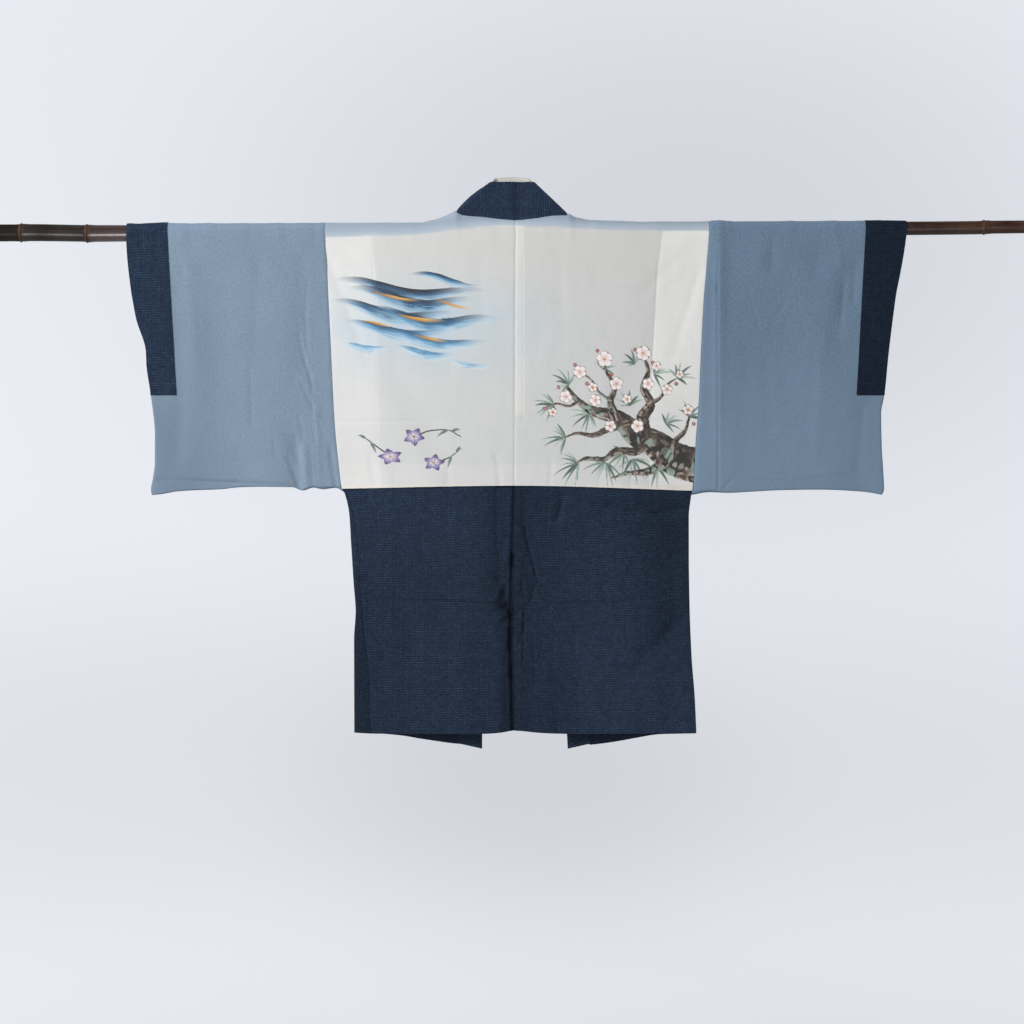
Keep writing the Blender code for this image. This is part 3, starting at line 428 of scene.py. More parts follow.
def curve(rows):
    """A smooth function through a table's (key, value) rows: cubic between them, never overshooting."""
    keys, values = np.array(sorted(rows), float).T
    steps = np.diff(keys)
    slopes = np.diff(values) / steps
    tangents = np.concatenate([slopes[:1], (slopes[1:] + slopes[:-1]) / 2, slopes[-1:]])
    before, after = slopes[:-1], slopes[1:]
    turning = before * after <= 0
    safe_before, safe_after = np.where(turning, 1, before), np.where(turning, 1, after)
    first, second = 2 * steps[1:] + steps[:-1], steps[1:] + 2 * steps[:-1]
    mean = (first + second) / (first / safe_before + second / safe_after)
    tangents[1:-1] = np.where(turning, 0, mean)

    def at(where):
        where = np.clip(np.asarray(where, float), keys[0], keys[-1])
        i = np.clip(np.searchsorted(keys, where) - 1, 0, len(steps) - 1)
        t = (where - keys[i]) / steps[i]
        rise = (1 - t) ** 2 * (1 + 2 * t) * values[i] + t**2 * (3 - 2 * t) * values[i + 1]
        return rise + steps[i] * (t * (1 - t) ** 2 * tangents[i] - t**2 * (1 - t) * tangents[i + 1])

    return at


def ease(share):
    """0 to 1 with a level start and end: 3 s squared minus 2 s cubed."""
    share = np.clip(share, 0, 1)
    return share**2 * (3 - 2 * share)


def rumple(x, z, size, seed):
    """Smooth uneven height from -1 to 1: random values at the crossings of a grid, eased between."""
    lattice = np.random.default_rng(seed).uniform(-1, 1, (97, 89))
    i, j = np.floor(x / size).astype(int), np.floor(z / size).astype(int)
    a, b = ease(x / size - i), ease(z / size - j)
    low = lattice[i % 97, j % 89] * (1 - a) + lattice[(i + 1) % 97, j % 89] * a
    high = lattice[i % 97, (j + 1) % 89] * (1 - a) + lattice[(i + 1) % 97, (j + 1) % 89] * a
    return low * (1 - b) + high * b


left_side, right_side = curve(LEFT_SIDE), curve(RIGHT_SIDE)
left_wrist, right_wrist = curve(LEFT_WRIST), curve(RIGHT_WRIST)
waist_line, shoulder_lift = curve(WAIST_LINE), curve(SHOULDER_LIFT)
body_depth, side_depth, sleeve_depth = curve(BODY_DEPTH), curve(SIDE_DEPTH), curve(SLEEVE_DEPTH)


def folds(table, x, z):
    """Sum of soft troughs, each along a line: depth times a bell across it, faded at both ends."""
    total = np.zeros(np.broadcast(x, z).shape)
    for x0, z0, x1, z1, reach, depth in table:
        length = np.hypot(x1 - x0, z1 - z0)
        along = ((x - x0) * (x1 - x0) + (z - z0) * (z1 - z0)) / length
        across = ((x - x0) * (z1 - z0) - (z - z0) * (x1 - x0)) / length
        past = np.maximum(np.maximum(-along, along - length), 0)
        fade = np.maximum(1.5 * reach, 6.0)
        total += depth * np.exp(-((across / reach) ** 2) - (past / fade) ** 2)
    return total


def cloth_radius(x):
    """From the pole's axis to the middle of the cloth, with the bump over one of its rings."""
    place, height, reach = RIDGE_UNDER_CLOTH
    bump = height * bell(x - place, reach)
    return pole_radius(x) + CLOTH_CLEAR + bump + CLOTH_WALL / 2


def crumple(x):
    """Small dents of the cloth over the pole, more of them on the sleeves."""
    dents = np.maximum(0.2 + 0.9 * rumple(x, 0 * x, 15.0, 12), 0)
    return dents * (0.4 + 0.6 * ease((np.abs(x) - 300) / 40))


def half_depth(x, z):
    """Half the space between the back and front layers: a table for each of the body, its side line
    and the sleeves, blended by the distance from the side line, and drawn shut under the wrist."""
    inside = np.minimum(x - left_side(z), right_side(z) - x)
    inner = np.where(inside > 0, body_depth(z), sleeve_depth(z))
    depth = side_depth(z) + (inner - side_depth(z)) * ease(np.abs(inside) / SIDE_REACH)
    depth = depth + (cloth_radius(x) - DEPTH_AT_POLE) * (1 - ease(z / WAIST))
    depth = depth + crumple(x) * (1 - ease((axis_height(x) - z) / CRUMPLE_REACH))
    from_edge = np.minimum(x - left_wrist(z), right_wrist(z) - x)
    shut = (1 - ease(from_edge / WRIST_REACH)) * ease((WRIST_OPEN + SHUT_RUN - z) / SHUT_RUN)
    return depth + (SHUT_DEPTH - depth) * shut


def sway(x, z):
    """How far both layers lean to the fronts' side together: wide soft folds, none at the pole."""
    swing = folds(SWAY_FOLDS, x, z) + 0.5 * rumple(x, z, 70.0, 11)
    return swing * ease((axis_height(x) - z) / SWAY_START)


def hang(x, z, side, wide=(), fine=(), uneven=0.25):
    """Points of a hanging layer: side is -1 for the back and 1 for the fronts. Wide folds need the
    space between the layers, and fine creases and unevenness don't."""
    x, z = np.broadcast_arrays(np.asarray(x, float), np.asarray(z, float))
    depth = half_depth(x, z)
    below = ease((axis_height(x) - z) / FOLD_START)
    relief = folds(wide, x, z) * below * np.clip((depth - SHUT_DEPTH) / 6, 0, 1)
    small = folds(fine, x, z) + uneven * (rumple(x, z, 23.0, 3) + 0.6 * rumple(x, z, 9.5, 4))
    from_edge = np.minimum(x - left_wrist(z), right_wrist(z) - x)
    pinch = 1 - ease((z - WRIST_OPEN) / PINCH_RUN + 1)
    round_edge = np.sqrt(1 - (1 - np.clip(from_edge / SEWN_EDGE_REACH, 0, 1)) ** 2)
    depth = depth - (depth - SEWN_EDGE_DEPTH) * (1 - round_edge) * pinch
    small = small * np.clip(from_edge / CREASE_START, 0, 1) * below * np.clip((depth - 0.5) / 2, 0, 1)
    depth = np.maximum(depth - relief - small, np.minimum(depth, LEAST_DEPTH))
    return np.stack([x, side * depth + sway(x, z), z], axis=-1)


def over(x, angle):
    """Points over the pole: a half circle, drawn up into an ellipse where the shoulder is lifted."""
    x, turn = np.broadcast_arrays(np.asarray(x, float), np.radians(angle))
    radius = half_depth(x, axis_height(x))
    top = radius + shoulder_lift(x)
    return np.stack([x, -radius * np.cos(turn), axis_height(x) + top * np.sin(turn)], axis=-1)


def between(start, end, shares):
    return start + (end - start) * np.asarray(shares, float)


def settle(x_at, z_at, level):
    """Grid points whose x follows slanting seams and whose z follows a curved edge."""
    x = x_at(level)
    for _ in range(3):
        z = z_at(x)
        x = x_at(z)
    return x, z


def steps(*stops):
    """Values from stop to stop, each followed by the number of equal steps to the next."""
    parts = [np.linspace(a, b, n, endpoint=False) for a, n, b in zip(stops[0::2], stops[1::2], stops[2::2])]
    return np.concatenate([*parts, [stops[-1]]])


def normals_of(middle, ring):
    """Unit normals of a grid of points, by central differences, going round where it is a ring."""
    down = np.roll(middle, -1, axis=0) - np.roll(middle, 1, axis=0) if ring else np.gradient(middle, axis=0)
    normals = np.cross(down, np.gradient(middle, axis=1))
    normals = normals / np.linalg.norm(normals, axis=-1, keepdims=True)
    away = np.stack([0 * middle[..., 0], middle[..., 1], np.maximum(middle[..., 2], 0)], axis=-1)
    return normals, np.sign((normals * away).sum())


def running(lengths):
    """Nothing, and then the sum up to each of these lengths."""
    return np.concatenate([[0], np.cumsum(lengths)])


def cloth_places(middle, ring):
    """Each point's place on the flat cloth, in metres: its x, and the length down the cloth to it."""
    line = np.concatenate([middle, middle[:1]]) if ring else middle
    lengths = np.linalg.norm(np.diff(line, axis=0), axis=-1).mean(axis=1)
    down = running(lengths)
    return np.stack(np.broadcast_arrays(line[..., 0], down[:, None]), axis=-1) * MM


CORNERS = np.array([(0, 0), (1, 0), (1, 1), (0, 1)])
SIDES = (
    ((0, 0), (1, 0), (0, -1)), ((1, 0), (1, 1), (1, 0)), ((1, 1), (0, 1), (0, 1)),
    ((0, 1), (0, 0), (-1, 0))
)


def add_cloth(name, middle, wall, face, back, every=3, kept=None, ring=False, shut=0, places=None):
    """A cloth round a grid of middle points, with its thickness along the normals. The outer face has
    every point, and the inner one each third or so. Kept says which of the inner face's cells exist.
    A ring goes round, and shut is how many of its rows are sewn to the opposite ones at column 0."""
    rows, columns = middle.shape[:2]
    normals, way = normals_of(middle, ring)
    thick = way * normals * wall / 2
    outer, inner = middle + thick, (middle - thick)[::every, ::every]
    if shut:
        closed = np.r_[0 : shut // every + 1, len(inner) - shut // every : len(inner)]
        inner[closed, 0, 0] += SILK_WALL * np.sign(middle[0, -1, 0] - middle[0, 0, 0])
    low_rows, low_columns = inner.shape[:2]
    cells = ((rows if ring else rows - 1) // every, (columns - 1) // every)
    kept = np.ones(cells, bool) if kept is None else kept
    places = cloth_places(middle, ring) if places is None else places

    def fine(at):
        return (at[..., 0] % rows) * columns + at[..., 1]

    def coarse(at):
        return rows * columns + (at[..., 0] % low_rows) * low_columns + at[..., 1]

    def spot(at):
        return places[at[..., 0], at[..., 1]]

    outer_cells = np.argwhere(np.kron(kept, np.ones((every, every), bool)))[:, None] + CORNERS
    inner_cells = (np.argwhere(kept)[:, None] + CORNERS)[:, ::-1]
    faces, chosen = [fine(outer_cells), coarse(inner_cells)], [0, 1]
    spots = [spot(outer_cells), spot(inner_cells * every)]
    edged = np.pad(kept, ((0, 0), (1, 1)))
    edged = np.pad(edged, ((1, 1), (0, 0)), mode="wrap") if ring else np.pad(edged, ((1, 1), (0, 0)))
    for start, end, beyond in SIDES:
        i, j = beyond
        open_side = kept & ~edged[1 + i : 1 + i + cells[0], 1 + j : 1 + j + cells[1]]
        if shut and beyond == (0, -1):
            open_side[: shut // every, 0] = False
            open_side[cells[0] - shut // every :, 0] = False
        cell = np.argwhere(open_side)
        if not len(cell):
            continue
        first, last = cell + start, cell + end
        share = np.arange(every, -1, -1)[None, :, None]
        path = first[:, None] * every + share * (np.array(end) - start)
        ends = np.stack([first, last], axis=1)
        faces.append(np.concatenate([fine(path), coarse(ends)], axis=1))
        spots.append(np.concatenate([spot(path), spot(ends * every)], axis=1))
        chosen.append(1)
    if shut:
        row = np.arange(1, shut)[:, None]
        low = np.arange(1, shut // every)[:, None]
        edge = np.hstack([row + 1, row, rows - row, rows - row - 1])
        inner_edge = np.hstack([low, low + 1, low_rows - low - 1, low_rows - low])
        ring_end = np.array([[shut, rows - shut]])
        low_end = np.array([[low_rows - shut // every, shut // every]])
        tip, low_tip = np.array([[1, 0, rows - 1]]), np.array([[0, 1, low_rows - 1]])
        for at, numbers in (
            (edge, edge % rows * columns), (tip, tip * columns),
            (inner_edge * every, rows * columns + inner_edge % low_rows * low_columns),
            (low_tip * every, rows * columns + low_tip * low_columns)
        ):
            faces.append(numbers)
            spots.append(places[at, 0])
            chosen.append(0)
        faces.append(np.hstack([ring_end * columns, rows * columns + low_end * low_columns]))
        spots.append(places[np.hstack([ring_end, low_end * every]), 0])
        chosen.append(1)
    if way < 0:
        faces = [each[:, ::-1] for each in faces]
        spots = [each[:, ::-1] for each in spots]
    points = np.concatenate([outer.reshape(-1, 3), inner.reshape(-1, 3)])
    made, used = add_mesh(name, points, faces, [face, back], chosen, spots)
    return made, used, points


def lifted(middle, height, ring=False):
    """The same grid moved outwards by this height."""
    normals, way = normals_of(middle, ring)
    return middle + way * normals * height


def seam_groove(distance, along, seed, deep=0.8):
    """How far cloth sinks beside a seam: a groove, and puckers that fade within a finger's width."""
    pucker = rumple(along, 0 * along + seed * 7.3, 8.0, seed)
    return deep * bell(distance, 2.0) + 0.26 * pucker * np.exp(-distance / 8.0)


def from_first(middle, axis):
    """Length along the grid from its first row or column to each point."""
    lengths = np.linalg.norm(np.diff(middle, axis=axis), axis=-1)
    zero = np.zeros_like(np.take(lengths, [0], axis=axis))
    return np.concatenate([zero, np.cumsum(lengths, axis=axis)], axis=axis)


def from_last(middle, axis):
    return np.flip(from_first(np.flip(middle, axis=axis), axis), axis=axis)


LOWER_ROWS = 72
UPPER_ROWS = 90
SLIT_ROW = 3 + 3 + LOWER_ROWS  # rows under the fold, then up to the wrist opening


def sleeve_grid(outer, inner, bottom, shares):
    """Rings of a bag sleeve: from the lowest line up the near layer, over the pole and down the far
    one. Each row runs from the wrist edge to the armhole."""
    level = steps(SLEEVE_BOTTOM, 3, WAIST, LOWER_ROWS, WRIST_OPEN, UPPER_ROWS, 0.0)[:, None]

    def line(z):
        return between(outer(z), inner(z), shares)

    def width(x):
        return half_depth(x, SLEEVE_BOTTOM)

    def height(x):
        lowest = bottom(x) + width(x)
        inside = np.minimum(np.abs(x - left_side(WAIST)), np.abs(x - right_side(WAIST)))
        waist = waist_line(x) + SEAM / 2
        foot = waist + (lowest + SLEEVE_FOLD_RISE - waist) * ease(inside / SIDE_REACH)
        upper = axis_height(x) + (foot - axis_height(x)) * np.maximum(level, WAIST) / WAIST
        return upper + (lowest - foot) * np.clip((WAIST - level) / (WAIST - SLEEVE_BOTTOM), 0, 1)

    x, z = settle(line, height, level)
    near = hang(x, z, -1, SLEEVE_FOLDS, SLEEVE_CREASES)
    far = hang(x, z, 1, SLEEVE_FOLDS, SLEEVE_FAR_CREASES)
    turn = np.radians([90.0, 60.0, 30.0])[:, None]
    x, z = settle(line, lambda x: bottom(x) + width(x) * (1 - np.sin(turn)), SLEEVE_BOTTOM)
    leaning = sway(x, z)
    under = np.stack([x, -width(x) * np.cos(turn) + leaning, z], axis=-1)
    under_far = np.stack([x, width(x) * np.cos(turn) + leaning, z], axis=-1)
    top = over(line(0.0), np.arange(10.0, 180, 10)[:, None])
    return np.concatenate([under, near, top, far[::-1], under_far[:0:-1]])


SLEEVE_FAR_CREASES = tuple((-x0 + 8, z0, -x1 + 12, z1, r, d) for x0, z0, x1, z1, r, d in SLEEVE_CREASES)
SLEEVE_SHARES = np.unique(np.concatenate([np.linspace(0, 1, 149), [0.002, 0.005]]))

# Plain weave seen from inside: flat and dark
silk_back, tree, shader = new_material("navy silk, inner side")
place = add_node(tree, "TexCoord").outputs["UV"]
slubs = add_node(tree, "TexNoise", {0: place, "Scale": 260.0, "Detail": 3.0})
dark = add_node(tree, "Mix", {0: slubs, 6: "#1E2733", 7: "#303D4E"}, data_type="RGBA")
feed(shader, {"Base Color": dark, "Roughness": 0.85, "Specular IOR Level": 0.15})


def lining_silk(name, pale, deep, shade):
    """Lining silk with a crepe weft, dyed one blue-grey: its hard-twisted threads crimp as they dry,
    which leaves a fine grain of 4 mm, a little longer upright, and a soft sheen with no gloss. Each
    sleeve gets its own copy, and the right one's darker colours are painted shade. An attribute mixes
    in a third colour: painted shade on the left sleeve, a paler strip and lower half on the right."""
    made, tree, shader = new_material(name)
    place = add_node(tree, "TexCoord").outputs["UV"]
    grain = stretched_noise(tree, place, (300.0, 210.0, 1.0), Detail=4.0, Roughness=0.7)
    threads = stretched_noise(tree, place, (640.0, 40.0, 1.0), Detail=2.0)
    clouds = add_node(tree, "TexNoise", {0: place, "Scale": 14.0, "Detail": 3.0})
    mixed = add_node(tree, "Math", {0: threads, 1: 0.28, 2: grain}, operation="MULTIPLY_ADD")
    clouded = add_node(tree, "Math", {0: clouds, 1: 0.16, 2: mixed}, operation="MULTIPLY_ADD")
    share = add_node(tree, "MapRange", {0: clouded, "From Min": 0.5, "From Max": 0.94})
    tone = add_node(tree, "Mix", {0: share, 6: deep, 7: pale}, data_type="RGBA")
    pressed = add_node(tree, "Attribute", attribute_name="pressed")
    final = add_node(tree, "Mix", {0: pressed.outputs["Fac"], 6: tone, 7: shade}, data_type="RGBA")
    bump = add_node(tree, "Bump", {"Height": mixed, "Strength": 0.5, "Distance": 0.0006})
    feed(shader, {
        "Base Color": final, "Normal": bump, "Roughness": 0.7, "Specular IOR Level": 0.2,
        "Sheen Weight": 0.08, "Sheen Roughness": 0.5
    })
    return made


RIDGE_CREASE = 340.5  # x of the pressed crease down the right sleeve
LEFT_SLEEVE_PAINTED_SHADE = (  # painted shade on the left lining: at its lower outer corner, along the fold line above its bottom and in a broad band: x and z of both ends, reach, strength
    (-606, -320, -584, -436, 42, 0.85), (-612, -422.6, -484, -427.7, 2.4, 0.7),
    (-484, -427.7, -391, -432.7, 2.4, 0.6), (-540, -200, -548, -420, 60, 0.2)
)
RIGHT_SLEEVE_PALER = ((352, -400, 352, -450, 60, 1.0),)  # and where the right one is painted paler, near its bottom by the armhole
SLEEVES = (  # name, node, outer edge, side line, bottom, sign
    ("sleeve_lining_left", "sleeve_left", left_wrist, left_side, LEFT_SLEEVE_BOTTOM, -1),
    ("sleeve_lining_right", "sleeve_right", right_wrist, right_side, RIGHT_SLEEVE_BOTTOM, 1)
)
SLEEVE_COLOURS = {  # lighter and deeper colours of each side, the right side's darker ones being painted shade, and the colour the tone attribute mixes in: painted shade on the left, paler on the right
    -1: ("#8598AB", "#708497", "#6B7E91"), 1: ("#6F869B", "#5A7086", "#778EA3")
}
for name, node, wrist, side, bottom, sign in SLEEVES:
    middle = sleeve_grid(wrist, lambda z: side(z) + sign * SEAM / 2, curve(bottom), SLEEVE_SHARES)
    at_armhole = from_last(middle, 1)
    middle = lifted(middle, -seam_groove(at_armhole, middle[..., 2], 5 + sign)[..., None], ring=True)
    silk = lining_silk("blue-grey lining silk, " + node.split("_")[1] + " sleeve", *SLEEVE_COLOURS[sign])
    sleeve, used, points = add_cloth(
        name, middle, SILK_WALL, silk, silk_back, every=2, ring=True, shut=SLIT_ROW
    )
    x, y, z = points.T
    # Tone attribute: painted shade on the left lining's near side; on the right, paler between the armhole
    # and the crease and towards the bottom.
    low = ease((-120 - z) / 260)
    kept = np.where(x < RIDGE_CREASE, 0.2 + 0.6 * low, 0.42 * low + 0.3 * folds(RIGHT_SLEEVE_PALER, x, z))
    toned = folds(LEFT_SLEEVE_PAINTED_SHADE, x, z) if sign < 0 else kept
    strip = np.where(y < 0, toned, 0.0)
    mark(sleeve, "pressed", strip[used])
    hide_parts(node)
    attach(sleeve, "root")

# ---- Wrist facings ------------------------------------------------------------------------
# At each wrist opening the navy outer cloth is turned back over the lining as a deep facing, cut
# in one strip that goes over the pole, pressed flat and slip-stitched along its inner edge.
CUFF_WALL = 0.7
CUFF_LIFT = 1.05
CUFF_DIP = 0.25  # how much flatter it is sewn down at its inner edge
CUFF_OVERHANG = 0.6  # how far it goes round the wrist edge
CUFF_EDGE_REACH = 1.5
LEFT_BAND = ((13, -595.9), (-281, -580.6))  # inner edge of each facing: z, x
RIGHT_BAND = ((13, 592.5), (-281, 577.2))


def shell_silk(name, ground, line):
    """Outer cloth of pongee silk, spun thick and thin and woven plain: dark navy with paler picks
    4 mm apart, fainter paler ends, a dry matt surface and slubs that run with both threads. The shade
    attribute paints shade on it: darker along creases, in seam troughs and over the panels, and paler
    where it stands for light."""
    made, tree, shader = new_material(name)
    place = add_node(tree, "TexCoord").outputs["UV"]
    split = add_node(tree, "SeparateXYZ", {0: place})
    threads = stretched_noise(tree, place, (520.0, 110.0, 1.0), Detail=3.0)
    picks = stretched_noise(tree, place, (130.0, 520.0, 1.0), Detail=3.0)
    strength = 0.0
    for axis, spacing, weight, slubs in (("X", 0.0039, 0.32, threads), ("Y", 0.00405, 0.56, picks)):
        turns = add_node(
            tree, "Math", {0: split.outputs[axis], 1: 2 * np.pi / spacing}, operation="MULTIPLY"
        )
        wave = add_node(tree, "Math", {0: turns}, operation="COSINE")
        lines = add_node(
            tree, "MapRange", {0: wave, "From Min": -0.35, "From Max": 1.0, "To Max": weight},
            interpolation_type="SMOOTHSTEP"
        )
        uneven = add_node(tree, "MapRange", {
            0: slubs, "From Min": 0.36, "From Max": 0.66, "To Min": 0.15
        })
        strength = add_node(tree, "Math", {0: lines, 1: uneven, 2: strength}, operation="MULTIPLY_ADD")
    beaten = add_node(tree, "TexNoise", {0: place, "Scale": 75.0, "Detail": 3.0, "Roughness": 0.6})
    packed = add_node(tree, "MapRange", {
        0: beaten, "From Min": 0.36, "From Max": 0.64, "To Min": 0.45, "To Max": 1.3
    })
    strength = add_node(tree, "Math", {0: strength, 1: packed}, operation="MULTIPLY")
    clouds = add_node(tree, "TexNoise", {0: place, "Scale": 260.0, "Detail": 3.0, "Roughness": 0.7})
    base = add_node(tree, "MapRange", {0: clouds, "From Min": 0.3, "From Max": 0.7, "To Max": 0.42})
    share = add_node(tree, "Math", {0: strength, 1: base}, operation="ADD")
    tone = add_node(tree, "Mix", {0: share, 6: ground, 7: line}, data_type="RGBA")
    shade = add_node(tree, "Attribute", attribute_name="shade")
    kept_light = add_node(tree, "Math", {0: 1.0, 1: shade.outputs["Fac"]}, operation="SUBTRACT")
    shaded = add_node(tree, "VectorMath", {0: tone, 1: kept_light}, operation="MULTIPLY")
    bump = add_node(tree, "Bump", {"Height": share, "Strength": 0.35, "Distance": 0.0004})
    feed(shader, {"Base Color": shaded, "Normal": bump, "Roughness": 0.85, "Specular IOR Level": 0.06})
    return made


navy = shell_silk("navy pongee silk", "#121C2A", "#384961")
# The right facing is a darker copy of the same navy: painted shade for light falling off towards the right.
navy_painted_shade = shell_silk("navy pongee silk, deeper dyed", "#091220", "#243242")
CUFF_BOTTOM = -281.0
CUFFS = (  # name, node, outer edge, inner edge, sleeve's bottom, cloth
    ("wrist_facing_left", "cuff_left", left_wrist, LEFT_BAND, LEFT_SLEEVE_BOTTOM, navy),
    ("wrist_facing_right", "cuff_right", right_wrist, RIGHT_BAND, RIGHT_SLEEVE_BOTTOM, navy_painted_shade)
)
sewn_lines = []  # spacing, thread, and two neighbouring paths on the cloth's face
for name, node, wrist, band, bottom, cloth in CUFFS:
    middle = sleeve_grid(wrist, curve(band), curve(bottom), np.linspace(0, 1, 25))
    edge = from_last(middle, 1)
    puffed = CUFF_LIFT - CUFF_DIP * np.exp(-edge / CUFF_EDGE_REACH)
    middle = lifted(middle, puffed[..., None], ring=True)
    outward = np.sign(middle[0, 0, 0])
    middle[..., 0] += outward * CUFF_OVERHANG * np.exp(-from_first(middle, 1) / CUFF_EDGE_REACH)
    middle = middle[SLIT_ROW : len(middle) - SLIT_ROW + 1]
    for rows in (middle[: UPPER_ROWS + 1], middle[-UPPER_ROWS - 1 :][::-1]):
        rows[..., 2] += (CUFF_BOTTOM - rows[0, :, 2]) * ease((rows[..., 2] + 60) / (rows[0, :, 2] + 60))
    face = lifted(middle, CUFF_WALL / 2)
    sewn_lines.append((7.0, "dark", face[:, -1], face[:, -2]))
    cuff, _, _ = add_cloth(name, middle, CUFF_WALL, cloth, silk_back)
    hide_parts(node)
    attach(cuff, "root")

# ---- Body lining and its picture ----------------------------------------------------------
# The upper body shows off-white lining silk, in one length on each side from the back waist over
# the shoulder to the front waist, sewn down the back. Its back was brushed with dye by hand
# before it was sewn: a stream between mist, an old plum bough over bamboo grass, bellflowers.
LINING_WALL = 0.9
HEM_LAP = 3.0  # how far the lining's turned hem covers the navy cloth
HEM_LIFT = 0.85
HEM_LIFT_REACH = 26.0
NECK_LEFT = -104.6
NECK_RIGHT = 85.9
NECK_ANGLE = 65.0
LINING_COLUMNS = 216
LINING_EVERY = 4
CENTRE_SEAM = (  # z, x
    (30, -3.2), (-200, -4.6), (-437, -5.6), (-564, -9.5), (-621, -11.3), (-700, -11.3), (-760, -10),
    (-857, -7)
)
LEFT_FRONT_SEAM = ((35, NECK_LEFT), (-857, -101), (-880, -98))
RIGHT_FRONT_SEAM = ((35, NECK_RIGHT), (-437, 105), (-880, 123.3))
LINING_FOLDS = (
    (-328, -20, -170, -330, 34, 1.5), (324, -20, 180, -300, 34, 1.5), (-190, -330, -150, -430, 26, -1.4),
    (150, -300, 170, -430, 26, -1.4)
)
FRONT_FOLDS = (
    (-230, -870, -215, -610, 30, 2.6), (-150, -875, -160, -560, 26, -2.4),
    (165, -875, 172, -600, 28, 2.4), (240, -865, 226, -520, 30, -2.6), (-250, -480, -180, -560, 16, 2.0),
    (255, -470, 190, -540, 16, 2.0), (-190, -430, -185, -120, 30, 2.0), (200, -430, 190, -150, 30, 2.0)
)
LINING_CREASES = (
    (-309, -327, -190, -325, 3.5, 0.7), (174, -326, 306, -328, 3.5, 0.7),
    (-308, -331, -130, -331, 3.0, -0.14), (126, -331, 304, -332, 3.0, -0.14),
    (-190, -326, 174, -327, 4.0, 0.35), (-318, -60, -262, -210, 9, 0.6), (-300, -30, -205, -120, 10, 0.5),
    (310, -70, 262, -220, 9, 0.6), (296, -28, 210, -110, 10, 0.5), (-60, -20, -64, -150, 12, 0.4),
    (70, -30, 78, -190, 12, 0.4), (-120, -395, -118, -436, 6, 0.5), (-36, -388, -30, -436, 5, 0.6),
    (58, -398, 55, -436, 5, 0.5), (196, -392, 190, -436, 7, 0.5), (-250, -390, -240, -436, 7, 0.5),
    (9.6, 4, 9.6, -318, 1.2, 0.35), (-250, -10, -238, -150, 1.6, 0.3), (238, -60, 227, -280, 1.6, 0.3)
)
FRONT_LINING_CREASES = (
    (-300, -326, -190, -328, 3.5, 0.7), (186, -327, 300, -325, 3.5, 0.7), (-310, -60, -250, -200, 9, 0.6),
    (306, -60, 240, -210, 9, 0.6), (-150, -60, -140, -330, 12, 0.6), (150, -50, 156, -340, 12, 0.6),
    (-230, -395, -226, -436, 6, 0.5), (214, -390, 220, -436, 6, 0.5)
)
centre_seam = curve(CENTRE_SEAM)
left_front_seam, right_front_seam = curve(LEFT_FRONT_SEAM), curve(RIGHT_FRONT_SEAM)


def lining_grid(side, neck, front_seam, sign, shoulder_cells):
    """One half of the lining, from the back waist up, over the pole and down the fronts. Columns run
    from the side to the neck, and on to the centre seam below the back neck."""
    shoulder = np.linspace(0, 1, shoulder_cells + 1)
    throat = np.linspace(0, 1, LINING_COLUMNS - shoulder_cells + 1)[1:]

    def line(z, edge):
        z = np.broadcast_to(z, (len(z), LINING_COLUMNS + 1))
        first, last = z[:, : len(shoulder)], z[:, len(shoulder) :]
        outer = between(side(first) - sign * SEAM / 2, edge(first) + sign * SEAM / 2, shoulder)
        inner = between(edge(last) + sign * SEAM / 2, centre_seam(last), throat)
        return np.concatenate([outer, inner], axis=1)

    def layer(level, way, edge, wide, fine):
        def height(x):
            return axis_height(x) + (waist_line(x) - axis_height(x)) * level / WAIST

        return hang(*settle(lambda z: line(z, edge), height, level), way, wide, fine, uneven=0.2)

    def back_neck(z):
        return np.full_like(z, neck)

    back_levels = steps(WAIST - HEM_LAP, 292, 0.0)[:, None]
    front_levels = steps(0.0, 100, WAIST - HEM_LAP)[:, None]
    angles = steps(0.0, 8, NECK_ANGLE, 12, 180.0)[1:-1, None]
    back = layer(back_levels, -1, back_neck, LINING_FOLDS, LINING_CREASES)
    top = over(line(np.zeros((1, 1)), back_neck), angles)
    front = layer(front_levels, 1, front_seam, FRONT_FOLDS, FRONT_LINING_CREASES)
    return np.concatenate([back, top, front])


def rgb(colour):
    """An sRGB hex colour as linear red, green and blue."""
    return np.array(linear(colour)[:3])


def shades(share, *colours):
    """Linear colours along a row of hex colours: a share of 0 gives the first and 1 the last."""
    table = np.array([rgb(colour) for colour in colours])
    at = np.clip(share, 0, 1) * (len(colours) - 1)
    low = np.minimum(at.astype(int), len(colours) - 2)
    part = (at - low)[:, None]
    return table[low] * (1 - part) + table[low + 1] * part


def glaze(colours, over_colour, share):
    """Colours with this share of another colour over them."""
    return colours + (rgb(over_colour) - colours) * share[:, None]


NOT_LAID = -9.0  # distance in from an edge where nothing is painted
BAND_EDGE = (  # where the dyed shoulder band ends on the back: x, z
    (-327, -12.4), (-165.8, -7.3), (-97.8, 1.2), (-29.8, 6.3), (55, 4.6), (140, 1.2), (225, -1.4),
    (324, -2.2)
)
DOUBLED_LEFT = ((13, -251), (-145, -238), (-260, -236), (-437, -232))  # edge of doubled cloth: z, x
DOUBLED_RIGHT = ((13, 248.5), (-80, 238), (-145, 233.8), (-272, 227), (-437, 224))


